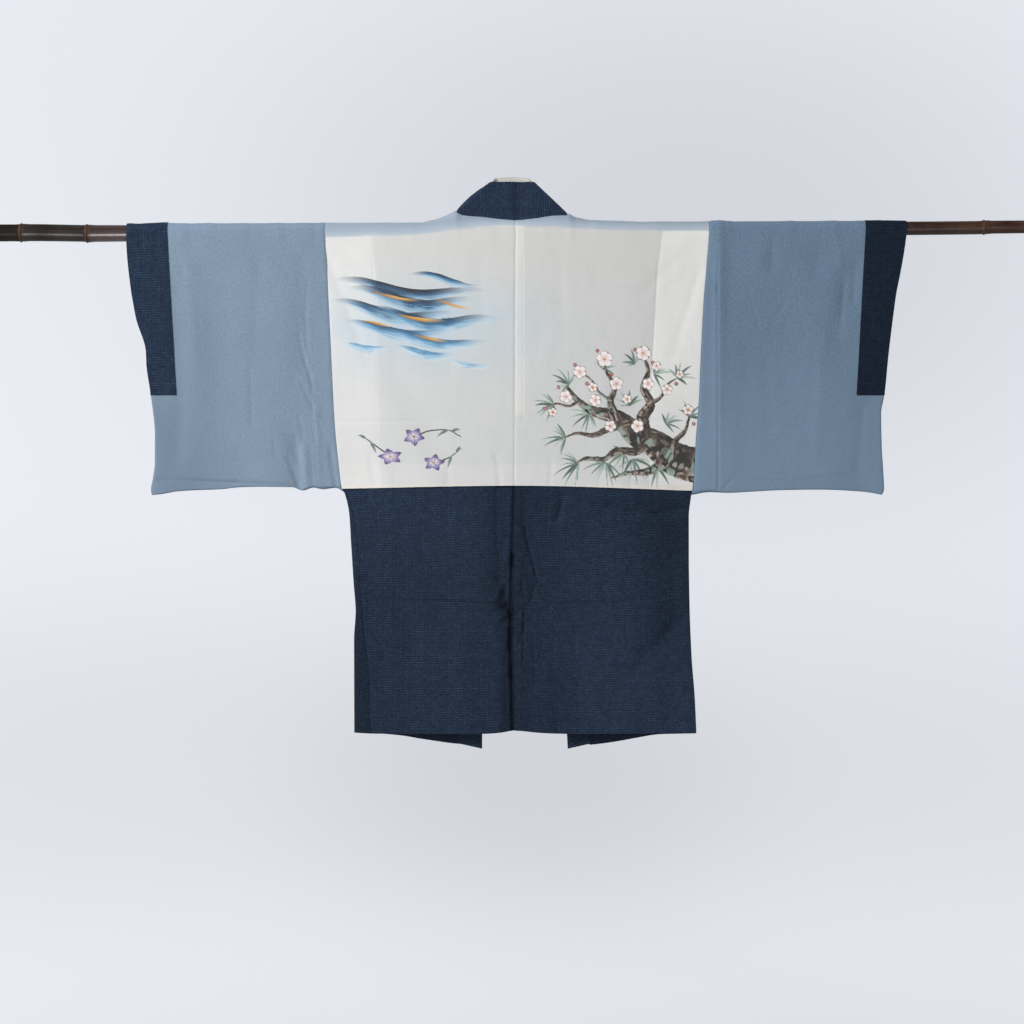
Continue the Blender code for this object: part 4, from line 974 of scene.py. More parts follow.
def ground_colours(x, y, z):
    """The silk before the picture: greyer where the navy cloth shows through one layer, whiter over
    seam allowances, at the sides and in the hem, and a blue band dyed along the shoulders. Painted
    light makes it paler above the storage crease at the left, and painted shade darkens it by a tenth
    from left to right."""
    depth = np.clip((12 - z) / 450, 0, 1)
    colours = shades(depth, "#D4D3CF", "#D3D3D0", "#D1D1D0")
    left, right = curve(DOUBLED_LEFT)(z), curve(DOUBLED_RIGHT)(z)
    beside = ease((left - x) / 3 + 0.5) * (0.30 + 0.46 * ease((z + 250) / 110))
    colours = glaze(colours, "#E4E3DF", beside)
    colours = glaze(colours, "#ECEBE7", ease((x - right) / 3 + 0.5) * (0.86 + 0.14 * ease((z + 330) / 90)))
    doubled = ease((x + 4.2) / 1.6) * ease((11.2 - x) / 1.6) * ease((z + 322) / 12)
    colours = glaze(colours, "#E2E1DA", 0.75 * doubled)
    # Painted light on the storage crease: paler above it, at the left.
    colours = glaze(colours, "#E0DFDC", 0.22 * ease((z + 329) / 3) * ease((-215 - x) / 40))
    colours = glaze(colours, "#E0DED9", 0.3 * ease((-397 - z) / 4))
    colours = glaze(colours, "#E6DFCE", 0.6 * ease((-433.5 - z) / 1.5))
    edge = np.where(y < 0, curve(BAND_EDGE)(x), -11 + 2.5 * np.sin(x / 61)) + 1.2 * rumple(x, 0 * x, 31, 21)
    dyed = ease((z - edge) / 3.2 + 0.5)
    band = shades((z - edge) / 16, "#BAC5CF", "#A7B4C1", "#98A6B4")
    # Painted shade: a tenth darker from left to right, as the light falls off.
    light = 1.0 - 0.10 * ease((x + 330) / 660)
    return (colours * (1 - dyed[:, None]) + band * dyed[:, None]) * light[:, None]


def lay(picture, layer, at, inside, colours):
    """Adds a shape to a layer at these points. Inside is the distance in from its edge, which the
    cloth's finish cuts at nothing, so the larger one is kept. Over paint its own edge is soft, and
    paint covers ink under it."""
    edge = picture[layer + "_edge"]
    covers = (inside > 0) | (inside > edge[at])
    share = np.where(edge[at] > 0, ease(inside / 2.0 + 0.25), 1.0)[covers, None]
    new = np.broadcast_to(colours, (len(at), 3))[covers]
    picture[layer][at[covers]] = picture[layer][at[covers]] * (1 - share) + new * share
    edge[at] = np.maximum(edge[at], inside)
    if layer == "paint":
        picture["ink_edge"][at] = np.minimum(picture["ink_edge"][at], -inside)


def within(picture, x0, z0, x1, z1, reach):
    """Numbers of the points in a box, and their places."""
    x, z = picture["x"], picture["z"]
    low_x, high_x = min(x0, x1) - reach, max(x0, x1) + reach
    low_z, high_z = min(z0, z1) - reach, max(z0, z1) + reach
    at = np.flatnonzero((x > low_x) & (x < high_x) & (z > low_z) & (z < high_z))
    return at, x[at], z[at]


def brush(picture, rows, count):
    """A brush drawn through rows of x, z and half width. It gives the points near it, how far each is
    inside, how far along, in millimetres, and how far across, from -1 to 1 on the path's left."""
    rows = np.array(rows, float)
    length = running(np.hypot(*np.diff(rows[:, :2], axis=0).T))
    even = np.linspace(0, length[-1], count)
    path = np.stack([curve(list(zip(length, column)))(even) for column in rows.T], axis=1)
    reach = rows[:, 2].max() + 5
    at, x, z = within(
        picture, path[:, 0].min(), path[:, 1].min(), path[:, 0].max(), path[:, 1].max(), reach
    )
    start, move = path[:-1], np.diff(path, axis=0)
    off_x, off_z = x[:, None] - start[:, 0], z[:, None] - start[:, 1]
    square = move[:, 0] ** 2 + move[:, 1] ** 2
    share = np.clip((off_x * move[:, 0] + off_z * move[:, 1]) / square, 0, 1)
    off_x, off_z = off_x - share * move[:, 0], off_z - share * move[:, 1]
    half = start[:, 2] + share * move[:, 2]
    inside = half - np.hypot(off_x, off_z)
    best = inside.argmax(axis=1)[:, None]
    turn = (move[:, 0] * off_z - move[:, 1] * off_x) / np.sqrt(square) / half

    def pick(values):
        return np.take_along_axis(values, best, axis=1)[:, 0]

    along = (best[:, 0] + pick(share)) * length[-1] / (count - 1)
    return at, pick(inside), along, pick(turn)


MIST = (-165, -165, 165, 64, 0.72)  # x and z of its middle, reach in x and z, strength
STREAM = (  # x and z of both ends, swing, waves, phase, half width, first and last tone
    (-322, -92, -40, -116, 9, 1.25, 0.10, 12, 0.00, 0.75),
    (-296, -110, -64, -132, 11, 1.15, 0.12, 15, 0.04, 0.80),
    (-324, -130, -96, -154, 10, 1.10, 0.16, 13, 0.08, 0.80),
    (-268, -144, -20, -166, 11, 1.15, 0.18, 15, 0.12, 0.90),
    (-302, -164, -104, -182, 8, 1.00, 0.20, 12, 0.22, 0.90),
    (-238, -178, -42, -202, 8, 1.00, 0.22, 13, 0.28, 0.95),
    (-300, -196, -214, -206, 4, 0.90, 0.30, 8, 0.50, 1.00),
    (-212, -204, -98, -218, 5, 0.90, 0.25, 10, 0.42, 1.00),
    (-190, -80, -56, -94, 6, 0.90, 0.05, 8, 0.16, 0.95),
    (-120, -226, -40, -234, 3, 0.80, 0.30, 6, 0.60, 1.00)
)
GOLD_RIPPLES = (  # x and z of both ends, swing, waves, phase, half width
    (-252, -108, -158, -118, 5, 0.5, 0.40, 3.2), (-208, -142, -116, -157, 5, 0.5, 0.55, 4.0),
    (-266, -158, -205, -162, 3, 0.5, 0.30, 2.6), (-142, -120, -66, -134, 4, 0.5, 0.45, 3.0),
    (-178, -178, -110, -191, 3, 0.5, 0.50, 3.0)
)


def ripple(picture, x0, z0, x1, z1, swing, waves, phase, half):
    """One thread of water: a line from end to end with a sine swing, widest in its middle. It gives
    the points near it, how far each is inside, along from 0 to 1 and across from -1 to 1."""
    at, x, z = within(picture, x0, z0, x1, z1, swing + half + 5)
    share = np.clip((x - x0) / (x1 - x0), 0, 1)
    turn = 2 * np.pi * (waves * share + phase)
    middle = z0 + (z1 - z0) * share + swing * np.sin(turn)
    slope = ((z1 - z0) + swing * 2 * np.pi * waves * np.cos(turn)) / (x1 - x0)
    width = half * np.sin(np.pi * share) ** 0.7 + 0.01
    uneven = 0.5 * rumple(x, z, 11.0, 31)
    across = (z - middle) / np.sqrt(1 + slope**2)
    beyond = np.maximum(np.maximum(x0 - x, x - x1), 0)
    return at, width - np.abs(across) + uneven - beyond, share, np.clip(across / width, -1, 1)


def under(picture, at):
    """What already shows at these points: the paint where there is some, or else the wash."""
    return np.where((picture["paint_edge"][at] > 0)[:, None], picture["paint"][at], picture["wash"][at])


def paint_stream(picture):
    """Mist first, as soft blue washes. Then the water, each run drawn with one loaded brush: a crisp
    dark upper edge that thins to nothing below it and towards its ends, and hair lines along it."""
    x, z = picture["x"], picture["z"]
    mid_x, mid_z, wide, high, strength = MIST
    mist = np.exp(-(((x - mid_x) / wide) ** 2) - ((z - mid_z) / high) ** 2)
    mist = mist * (0.72 + 0.28 * rumple(x, z, 34, 41))
    picture["wash"][:] = glaze(picture["wash"], "#A9C9DE", np.clip(strength * mist, 0, 1))
    for number, (x0, z0, x1, z1, swing, waves, phase, half, dark, pale) in enumerate(STREAM):
        at, inside, share, across = ripple(picture, x0, z0, x1, z1, swing, waves, phase, half)
        streaks = rumple(x[at] * 0.12, across * 9 + 4 * share, 2.0, 42 + number)
        tone = dark + (pale - dark) * (0.5 - 0.5 * across) + 0.35 * np.abs(share - 0.45) + 0.10 * streaks
        colours = shades(tone, "#1D1E22", "#28394A", "#35678C", "#6FA6C8", "#B3D3E4", "#D6E4EA")
        strength = ease((across + 1.02) / (1.25 + 0.3 * streaks)) * ease(share / 0.3)
        strength = strength * ease((1 - share) / 0.4)
        below = under(picture, at)
        lay(picture, "paint", at, inside, below + (colours - below) * strength[:, None])
        for offset, start, end in ((0.45, 0.12, 0.66), (0.0, 0.3, 0.86), (-0.4, 0.2, 0.6)):
            hair = 0.5 - half * np.abs(across - offset - 0.2 * np.sin(9 * share + 3 * number))
            drawn = (share > start + 0.02 * (number % 5)) & (share < end) & (inside > 0)
            colour = rgb("#335C7A" if offset > 0 else "#86AEC8")
            lay(picture, "ink", at, np.where(drawn, hair, NOT_LAID), colour)
    for row in GOLD_RIPPLES:
        at, inside, share, across = ripple(picture, *row)
        below = under(picture, at)
        gold = shades(share + 0.2 * across, "#7E6236", "#D29C46", "#E5C485")
        strength = ease((across + 1.05) / 1.3) * ease((1 - share) / 0.5)
        lay(picture, "ink", at, inside, below + (gold - below) * strength[:, None])


BOUGH = (  # limbs of the old plum, each a list of x, z, half width
    (
        (312, -404, 30), (268, -390, 29), (236, -366, 24), (206, -352, 21), (182, -330, 17),
        (160, -316, 13), (132, -310, 9), (104, -292, 5.6), (84, -268, 3)
    ),
    ((216, -356, 13), (212, -322, 11), (226, -296, 8), (214, -268, 6), (222, -240, 4), (214, -214, 2.2)),
    ((166, -318, 8), (158, -292, 6), (166, -268, 4.5), (152, -244, 3), (146, -222, 1.8)),
    ((222, -362, 9), (196, -378, 7.5), (170, -376, 6), (146, -390, 4.2), (120, -388, 3), (98, -398, 1.6)),
    ((226, -296, 4), (244, -284, 3), (256, -262, 2), (272, -252, 1.2)),
    ((104, -292, 3), (86, -300, 2.4), (66, -296, 1.8), (46, -304, 1.2)),
    ((158, -290, 3), (138, -276, 2.4), (124, -254, 1.8), (106, -244, 1.2)),
    ((262, -384, 8), (270, -358, 5), (286, -340, 3.4), (292, -318, 1.8)),
    ((252, -384, 13), (240, -402, 9), (218, -412, 6), (188, -414, 4), (160, -422, 1.6)),
    ((182, -330, 9), (156, -338, 6.5), (128, -350, 4.4), (102, -346, 2.8), (80, -354, 1.2))
)
LEAF_FANS = (  # x, z, direction in degrees, number of leaves, length
    (104, -398, 200, 9, 46), (150, -396, 250, 9, 46), (196, -390, 285, 7, 42), (62, -298, 190, 8, 36),
    (272, -252, 50, 7, 34), (292, -318, 70, 6, 32), (88, -264, 140, 7, 34), (182, -380, 215, 7, 40),
    (238, -404, 260, 6, 32), (122, -314, 235, 7, 38), (232, -246, 20, 6, 30), (252, -330, 30, 6, 34),
    (190, -300, 100, 6, 30), (82, -354, 185, 8, 38), (200, -228, 120, 6, 28), (146, -238, 60, 5, 26)
)
BLOSSOMS = (  # x, z, radius
    (214, -210, 12.5), (148, -220, 13.5), (106, -242, 11), (222, -262, 10), (168, -262, 11.5),
    (132, -290, 10), (82, -284, 10.5), (254, -272, 9.5), (204, -334, 11), (158, -334, 10), (290, -306, 9),
    (186, -288, 8), (236, -232, 8), (60, -310, 7.5), (128, -268, 8), (276, -246, 7)
)
BUDS = (
    (200, -204), (136, -206), (98, -230), (270, -262), (46, -304), (160, -246), (230, -226), (70, -268),
    (118, -262), (300, -330)
)


def paint_bough(picture):
    """The plum bough: bark in browns with pale ridges and dark cracks along it, lichen on its back."""
    for number, limb in enumerate(BOUGH):
        at, inside, along, across = brush(picture, limb, 26)
        wander = 2.2 * rumple(along, across * 9, 9.0, 50 + number)
        ragged = inside + 0.9 * rumple(along, across * 20, 5.0, 60 + number)
        ridges = rumple(along * 0.35, across * 14 + wander, 2.6, 70 + number)
        tone = 0.45 + 0.33 * across + 0.42 * ridges + 0.12 * rumple(along, across * 8, 16.0, 80 + number)
        colours = shades(tone, "#1D1713", "#3A2C24", "#54443A", "#77675A", "#A39486", "#C9BEB2")
        moss = np.clip(rumple(along, across * 11, 13.0, 90 + number) * 1.8 - 0.55 + 0.5 * across, 0, 0.8)
        lay(picture, "paint", at, ragged, glaze(colours, "#8FA598", moss))
        cracks = 0.9 - 3.4 * np.abs(rumple(along * 0.4, across * 10 + wander, 4.2, 100 + number))
        crack_ink = np.minimum(cracks, inside - 0.8)
        lay(picture, "ink", at[crack_ink > -0.9], crack_ink[crack_ink > -0.9], rgb("#17120F"))


def paint_leaf(picture, x, z, turn, length, half, tone):
    """A bamboo-grass leaf: narrow at its stalk, widest a third along, drawn out to a point."""
    tip_x, tip_z = x + length * np.cos(turn), z + length * np.sin(turn)
    sag = 0.12 * length
    rows = (
        (x, z, 0.7), (x + 0.33 * (tip_x - x), z + 0.33 * (tip_z - z) + 0.25 * sag, half),
        (x + 0.68 * (tip_x - x), z + 0.68 * (tip_z - z) - 0.1 * sag, 0.72 * half),
        (tip_x, tip_z - sag, 0.35)
    )
    at, inside, along, across = brush(picture, rows, 10)
    share = tone + 0.25 * np.abs(across) + 0.3 * along / length
    lay(picture, "paint", at, inside, shades(share, "#3C4A44", "#5D7268", "#8B9E93", "#BCC8C0"))
    vein = 0.5 - half * np.abs(across)
    lay(picture, "ink", at, np.minimum(vein, inside), rgb("#34423D"))


def paint_leaves(picture):
    """Fans of bamboo grass: the leaves of a fan spread from one joint, the palest laid down first."""
    draw = np.random.default_rng(7)
    for x, z, direction, count, length in LEAF_FANS:
        spread = draw.permutation(np.linspace(-74, 74, count)) + draw.uniform(-8, 8, count)
        tones = np.linspace(0.75, 0.0, count) + draw.uniform(-0.1, 0.1, count)
        for angle, tone in zip(spread, tones):
            reach = length * draw.uniform(0.7, 1.15) * (0.72 + 0.28 * np.cos(np.radians(angle)))
            half = draw.uniform(1.5, 2.7)
            paint_leaf(picture, x, z, np.radians(direction + angle), reach, half, tone)


def paint_blossoms(picture):
    """Plum blossoms: five round petals, outlined, with a ring of stamens; and round buds."""
    for number, (x0, z0, radius) in enumerate(BLOSSOMS):
        at, x, z = within(picture, x0, z0, x0, z0, 1.3 * radius)
        turn = np.radians(72 * np.arange(5) + 23 * number)
        off_x = x[:, None] - x0 - 0.52 * radius * np.cos(turn)
        off_z = z[:, None] - z0 - 0.52 * radius * np.sin(turn)
        petals = 0.5 * radius - np.hypot(off_x, off_z)
        inside = petals.max(axis=1)
        out = np.hypot(x - x0, z - z0) / radius
        lay(picture, "paint", at, inside, shades(out, "#DDB4B2", "#EFE0DC", "#F7F4F0"))
        second = np.sort(petals, axis=1)[:, -2]
        outline = np.maximum(
            0.6 - np.abs(inside), np.minimum(0.45 - (inside - second) * 0.6, 0.45 * radius * (out - 0.42))
        )
        outline = np.where(inside > -1.5, outline, -1.5)
        lay(picture, "ink", at, outline, rgb("#7D6A65"))
        angle = np.arctan2(z - z0, x - x0)
        rays = 0.55 - np.abs(np.sin(4.5 * angle + number)) * out * radius * 0.5
        stamens = np.minimum(rays, (0.46 - out) * radius)
        lay(picture, "ink", at, stamens, rgb("#B98A3A"))
    for x0, z0 in BUDS:
        at, x, z = within(picture, x0, z0, x0, z0, 7)
        out = np.hypot(x - x0, z - z0)
        lay(picture, "paint", at, 3.4 - out, shades(out / 3.4, "#D9A9A4", "#A8615E", "#7B3F42"))


BELLFLOWERS = (  # x, z, radius, turn, how far it is seen from its side
    (-176, -352, 19, 10, 1.15), (-216, -386, 22, 40, 1.5), (-142, -396, 19, 65, 1.25)
)
BELLFLOWER_LEAVES = (  # x, z, direction in degrees, length
    (-118, -341, 205, 22), (-112, -343, 20, 16), (-250, -361, 300, 20), (-258, -355, 150, 15),
    (-112, -385, 250, 20), (-104, -379, 60, 14)
)
BELLFLOWER_STEMS = (
    ((-96, -352, 0.8), (-122, -340, 1.0), (-150, -342, 1.1), (-170, -350, 1.2)),
    ((-262, -352, 0.8), (-248, -362, 1.0), (-232, -374, 1.1), (-220, -382, 1.2)),
    ((-96, -372, 0.8), (-108, -382, 1.0), (-122, -390, 1.1), (-138, -395, 1.2))
)


def paint_bellflowers(picture):
    """Bellflowers on thin stalks: a star of five pointed lobes, gold at the throat, veined."""
    for stem in BELLFLOWER_STEMS:
        at, inside, _, _ = brush(picture, stem, 12)
        lay(picture, "ink", at, inside, rgb("#2B2C34"))
    for x0, z0, direction, length in BELLFLOWER_LEAVES:
        paint_leaf(picture, x0, z0, np.radians(direction), length, 2.6, 0.2)
    for x0, z0, radius, turned_by, squeeze in BELLFLOWERS:
        at, x, z = within(picture, x0, z0, x0, z0, 1.3 * radius)
        out = np.hypot(x - x0, (z - z0) * squeeze)
        angle = (np.degrees(np.arctan2((z - z0) * squeeze, x - x0)) + turned_by) / 72
        off_axis = 2 * np.abs(angle - np.round(angle))
        edge = radius * (1 - 0.46 * off_axis**0.85)
        inside = 0.85 * (edge - out)
        streaks = rumple(angle * 23, out * 0.22, 1.6, 112)
        share = 0.9 * out / radius + 0.14 * streaks + 0.10 * off_axis
        colours = shades(share, "#D9B25E", "#E6DCCF", "#BDAFCB", "#8373A5", "#50436F", "#332B4C")
        lay(picture, "paint", at, inside, colours)
        veins = np.minimum(0.4 - off_axis * out * 0.4, 0.7 * radius - out)
        rim = 0.42 - np.abs(inside)
        lay(picture, "ink", at, np.where(inside > -1.4, np.maximum(veins, rim), -1.4), rgb("#453B5E"))


def picture_silk(name):
    """The lining silk with its picture: the wash attribute is the ground, and the paint and ink ones
    are laid over it where their distance in from an edge is more than nothing. Dye leaves a crisp
    edge where a resist line stopped it. Threads show as faint upright and level lines, 1.2 mm apart."""
    made, tree, shader = new_material(name)
    place = add_node(tree, "TexCoord").outputs["UV"]
    colour = add_node(tree, "Attribute", attribute_name="wash").outputs["Color"]
    ragged = add_node(tree, "TexNoise", {0: place, "Scale": 900.0, "Detail": 2.0})
    for layer in ("paint", "ink"):
        edge = add_node(tree, "Attribute", attribute_name=layer + "_edge")
        laid = add_node(tree, "Attribute", attribute_name=layer)
        shaken = add_node(
            tree, "Math", {0: ragged, 1: 0.7, 2: edge.outputs["Fac"]}, operation="MULTIPLY_ADD"
        )
        share = add_node(
            tree, "MapRange", {0: shaken, "From Min": 0.0, "From Max": 0.7},
            interpolation_type="SMOOTHSTEP"
        )
        colour = add_node(tree, "Mix", {0: share, 6: colour, 7: laid.outputs["Color"]}, data_type="RGBA")
    threads = stretched_noise(tree, place, (640.0, 7.0, 1.0), Detail=3.0)
    picks = stretched_noise(tree, place, (9.0, 520.0, 1.0), Detail=3.0)
    both = add_node(tree, "Math", {0: threads, 1: picks}, operation="ADD")
    value = add_node(tree, "MapRange", {
        0: both, "From Min": 0.7, "From Max": 1.3, "To Min": 0.965, "To Max": 1.025
    })
    final = add_node(tree, "VectorMath", {0: colour, 1: value}, operation="MULTIPLY")
    bump = add_node(tree, "Bump", {"Height": both, "Strength": 0.22, "Distance": 0.0003})
    feed(shader, {
        "Base Color": final, "Normal": bump, "Roughness": 0.55, "Specular IOR Level": 0.3,
        "Sheen Weight": 0.08, "Sheen Roughness": 0.4
    })
    return made


hand_dyed = picture_silk("off-white lining silk, hand dyed")
LININGS = (  # name, node, side line, neck, front seam, sign, columns from side to neck
    ("body_lining_left", "lining_left", left_side, NECK_LEFT, left_front_seam, -1, 148),
    ("body_lining_right", "lining_right", right_side, NECK_RIGHT, right_front_seam, 1, 156)
)
NECK_ROW = 300
OUT_OF_PICTURE = 900.0  # height given to points on the front, so that no brush reaches them
for name, node, side, neck, front_seam, sign, shoulder_cells in LININGS:
    middle = lining_grid(side, neck, front_seam, sign, shoulder_cells)
    places = cloth_places(middle, False)
    down, up = from_first(middle, 0), from_last(middle, 0)
    lift = HEM_LIFT * (ease(1 - down / HEM_LIFT_REACH) + ease(1 - up / HEM_LIFT_REACH))
    at_side, at_centre = from_first(middle, 1), from_last(middle, 1)
    height = middle[..., 2]
    lift = lift - seam_groove(at_side, height, 15 + sign, deep=0.25)
    lift[:NECK_ROW] -= seam_groove(at_centre, height, 21 + sign, deep=0.55)[:NECK_ROW]
    to_seam = at_side[:, [shoulder_cells]] - at_side
    lift[NECK_ROW:] -= seam_groove(np.abs(to_seam), height, 25 + sign, deep=0.4)[NECK_ROW:]
    middle = lifted(middle, lift[..., None])
    face = lifted(middle, LINING_WALL / 2)
    sewn_lines.append((6.0, "pale", face[2], face[0]))
    sewn_lines.append((6.0, "pale", face[-3, : shoulder_cells + 1], face[-1, : shoulder_cells + 1]))
    kept = np.ones(((len(middle) - 1) // LINING_EVERY, LINING_COLUMNS // LINING_EVERY), bool)
    kept[NECK_ROW // LINING_EVERY :, shoulder_cells // LINING_EVERY :] = False
    lining, used, points = add_cloth(
        name, middle, LINING_WALL, hand_dyed, silk_back, LINING_EVERY, kept, places=places
    )
    x, y, z = points[used].T
    picture = {"x": x, "z": np.where(y < 0, z, OUT_OF_PICTURE), "wash": ground_colours(x, y, z)}
    for layer in ("paint", "ink"):
        picture[layer], picture[layer + "_edge"] = picture["wash"].copy(), np.full(len(x), NOT_LAID)
    paint_stream(picture)
    paint_leaves(picture)
    paint_bough(picture)
    paint_blossoms(picture)
    paint_bellflowers(picture)
    for layer in ("wash", "paint", "ink"):
        colours = np.concatenate([picture[layer], np.ones((len(x), 1))], axis=1)
        mark(lining, layer, colours, "FLOAT_COLOR", "color")
    for layer in ("paint_edge", "ink_edge"):
        mark(lining, layer, picture[layer])
    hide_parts(node)
    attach(lining, "root")

# ---- Lower panels -------------------------------------------------------------------------
# Below the waist the navy outer cloth shows: its hem is turned up inside as deep as this, so both
# faces are navy. The backs are sewn together down the middle, and each front runs to the collar.
SHELL_WALL = 1.0
UNDER_LAP = 0.02  # share of a panel's height that goes on up under the lining
TUCK = 0.42
TUCK_REACH = 22.0
GATHERS = (6, -632, 34, 86)  # where the back is gathered: x and z of its middle, reach in x and z
BACK_HEM = (  # x, z
    (-280, -855.8), (-234, -857.3), (-57, -857.3), (-30, -855.6), (-4, -852.2), (38, -855.6),
    (86, -857.3), (302, -855.6)
)
FRONT_HEM = (
    (-280, -857), (-250, -857.5), (-200, -861.6), (-166, -867.5), (-132, -872.6), (-101, -876.2),
    (0, -880), (123, -877.7), (140, -876), (174, -871), (208, -865), (242, -860), (302, -858)
)
GUSSET_WIDTH = (  # height, width of a half that shows
    (-437, 2), (-452, 5), (-510, 10), (-561, 13), (-604, 11), (-660, 13), (-700, 19), (-751, 26),
    (-860, 29)
)
BACK_FOLDS = (
    (-15, -640, -12, -872, 13, 5.0), (-22, -440, -20, -570, 17, 3.4), (-28, -600, -14, -652, 9, 3.0),
    (16, -500, 44, -640, 14, 1.6), (28, -612, 10, -690, 11, 1.5), (104, -740, 104, -860, 18, 1.0),
    (285, -650, 196, -760, 24, 3.2), (158, -472, 286, -476, 12, 2.8), (76, -452, 68, -492, 8, 1.8),
    (-190, -870, -190, -700, 34, 2.6), (-206, -625, -178, -700, 18, 2.2),
    (-284, -440, -262, -452, 10, 1.4), (190, -870, 205, -700, 30, -2.2), (-90, -870, -95, -700, 26, -2.4),
    (50, -860, 56, -760, 22, -2.2), (-252, -462, -200, -488, 12, 1.2), (258, -590, 264, -860, 20, 1.8)
)
BACK_CREASES = (
    (10, -470, 14, -520, 3.4, 0.9), (14, -512, 19, -540, 3.0, 1.2), (18.5, -534, 30.5, -584, 3.0, 1.5),
    (30, -578, 41, -622, 3.0, 1.3), (40, -616, 56, -643, 3.4, 0.9), (26, -540, 38, -582, 4.0, -0.9),
    (34, -592, 44, -628, 5.0, -0.8), (25, -628, -3, -655, 3.2, 1.5), (30, -606, 22, -634, 3.6, 0.9),
    (17, -668, 1, -706, 3.4, 1.4), (10, -640, 4, -666, 4.0, -1.2), (22, -650, 12, -684, 4.0, -0.9),
    (11, -650, 10, -735, 2.6, 1.5), (27, -690, 30, -780, 3.4, 0.8), (36, -660, 40, -700, 5.0, 0.5),
    (8, -560, 2, -610, 4.0, -1.0), (5, -590, 13, -630, 3.4, 0.9), (98, -670, 98, -730, 3.0, 0.9),
    (103, -765, 106, -852, 3.0, 1.0), (-118, -621, -27, -617, 1.8, 0.8), (41, -625, 105, -632, 2.2, 0.9),
    (100, -632, 217, -631, 1.8, 0.7), (154, -470, 190, -480, 3.6, 1.4),
    (186, -479.5, 236, -484, 3.6, 1.8), (230, -484, 286, -473, 3.6, 1.6),
    (160, -492, 280, -496, 7.0, -1.0), (78, -455, 69, -487, 3.4, 1.3), (52, -466, 49.5, -510, 3.0, 0.7),
    (284, -657, 214, -728, 7.0, 0.9), (262, -640, 236, -700, 8.0, -0.6),
    (-17, -548, -30, -616, 5.0, -1.3), (-29, -606, -44, -640, 4.0, -1.3),
    (-41, -650, -22, -640, 3.2, 1.9), (-24, -641, -10, -646, 3.2, 2.3), (-12, -643, 5, -660, 3.0, 2.0),
    (-27, -628, -15, -600, 4.0, 1.6), (-34, -664, -20, -656, 4.0, -1.2), (-50, -628, -34, -622, 3.6, 0.7),
    (-36, -446, -34, -556, 5.0, 0.9), (-11.5, -648, -11, -760, 3.3, 3.0),
    (-11, -745, -7.5, -862, 3.3, 3.0), (3, -668, 5, -860, 9.0, -0.9), (-6, -436, -9.5, -566, 3.2, 1.8),
    (-8.5, -556, -11.5, -650, 3.2, 2.2), (-200, -470, -190, -600, 9, 0.6),
    (-112, -690, -120, -850, 8, 0.7), (206, -640, 218, -845, 9, 0.7), (146, -520, 150, -640, 9, 0.6),
    (60, -720, 70, -850, 7, 0.7), (-230, -700, -222, -850, 8, 0.6), (-150, -450, -146, -520, 6, 0.6),
    (230, -446, 232, -470, 5, 0.5), (-240, -448, -236, -500, 5, 0.6)
)
FRONT_CREASES = (
    (-240, -621, -140, -622, 1.8, 0.5), (130, -630, 250, -629, 1.8, 0.5),
    (-200, -470, -206, -600, 7, 0.7), (-160, -650, -166, -860, 7, 0.7), (-226, -700, -220, -850, 8, 0.6),
    (150, -480, 156, -640, 7, 0.7), (200, -660, 208, -860, 8, 0.7), (252, -520, 246, -700, 7, 0.6),
    (-130, -500, -128, -600, 6, 0.6), (136, -700, 138, -865, 6, 0.6), (-118, -560, -150, -640, 3.4, 1.3),
    (-150, -636, -190, -668, 3.2, 1.2), (-112, -600, -128, -664, 4.0, -1.0),
    (-232, -462, -184, -477, 3.6, 1.5), (-184, -477, -126, -470, 3.4, 1.3),
    (-240, -486, -150, -494, 7.0, -0.9), (-176, -720, -170, -806, 3.2, 1.0),
    (-262, -700, -214, -762, 6.0, 0.9), (132, -470, 196, -481, 3.6, 1.3),
    (194, -481, 272, -470, 3.6, 1.6), (150, -493, 262, -497, 7.0, -0.9), (128, -560, 150, -622, 3.2, 1.3),
    (150, -618, 142, -670, 3.4, 1.1), (262, -650, 206, -722, 6.0, 1.0), (172, -700, 178, -792, 3.2, 1.0)
)
BACK_SHADES = (  # painted shade where strength is above 0, along creases and the seam's trough, and painted light where below 0: x and z of both ends, reach, strength
    (-230, -435, -150, -470, 80, -0.16), (-262, -600, -262, -860, 18, 0.10),
    (-50, -470, -44, -600, 34, 0.10), (-40, -596, -20, -650, 18, 0.12), (24, -440, 34, -860, 52, 0.17),
    (3, -440, 1, -860, 12, 0.14), (-6, -434, -9.5, -566, 4, 0.34), (-9, -556, -11.5, -650, 4.2, 0.4),
    (-11.5, -648, -8.5, -856, 4.8, 0.5), (250, -490, 270, -640, 60, 0.14),
    (190, -440, 260, -505, 60, 0.08), (250, -780, 275, -857, 60, -0.14),
    (150, -560, 170, -700, 60, -0.06), (110, -740, 170, -857, 80, -0.10),
    (-15.5, -680, -16, -712, 4, 0.45), (-240, -626, -140, -629, 2.2, 0.16),
    (-140, -629, -34, -634, 2.2, 0.26), (56, -635, 180, -632, 2.2, 0.24)
)
# Painted shade on the fronts, along their creases: the same columns.
FRONT_SHADES = (
    (-112, -470, -106, -860, 24, 0.16), (-262, -600, -262, -860, 20, 0.14),
    (-118, -560, -150, -640, 5, 0.30), (-150, -636, -190, -668, 4.4, 0.26),
    (-232, -464, -184, -479, 4.4, 0.24), (-184, -479, -126, -472, 4.4, 0.20),
    (-240, -621, -140, -622, 2.2, 0.24), (-176, -720, -170, -806, 5, 0.2),
    (120, -440, 126, -860, 30, 0.16), (132, -472, 196, -483, 4.4, 0.22),
    (194, -483, 272, -472, 4.4, 0.26), (128, -560, 150, -622, 5, 0.30), (150, -618, 142, -670, 4.4, 0.26),
    (130, -630, 250, -629, 2.2, 0.24), (262, -650, 206, -722, 7, 0.18), (172, -700, 178, -792, 5, 0.2)
)
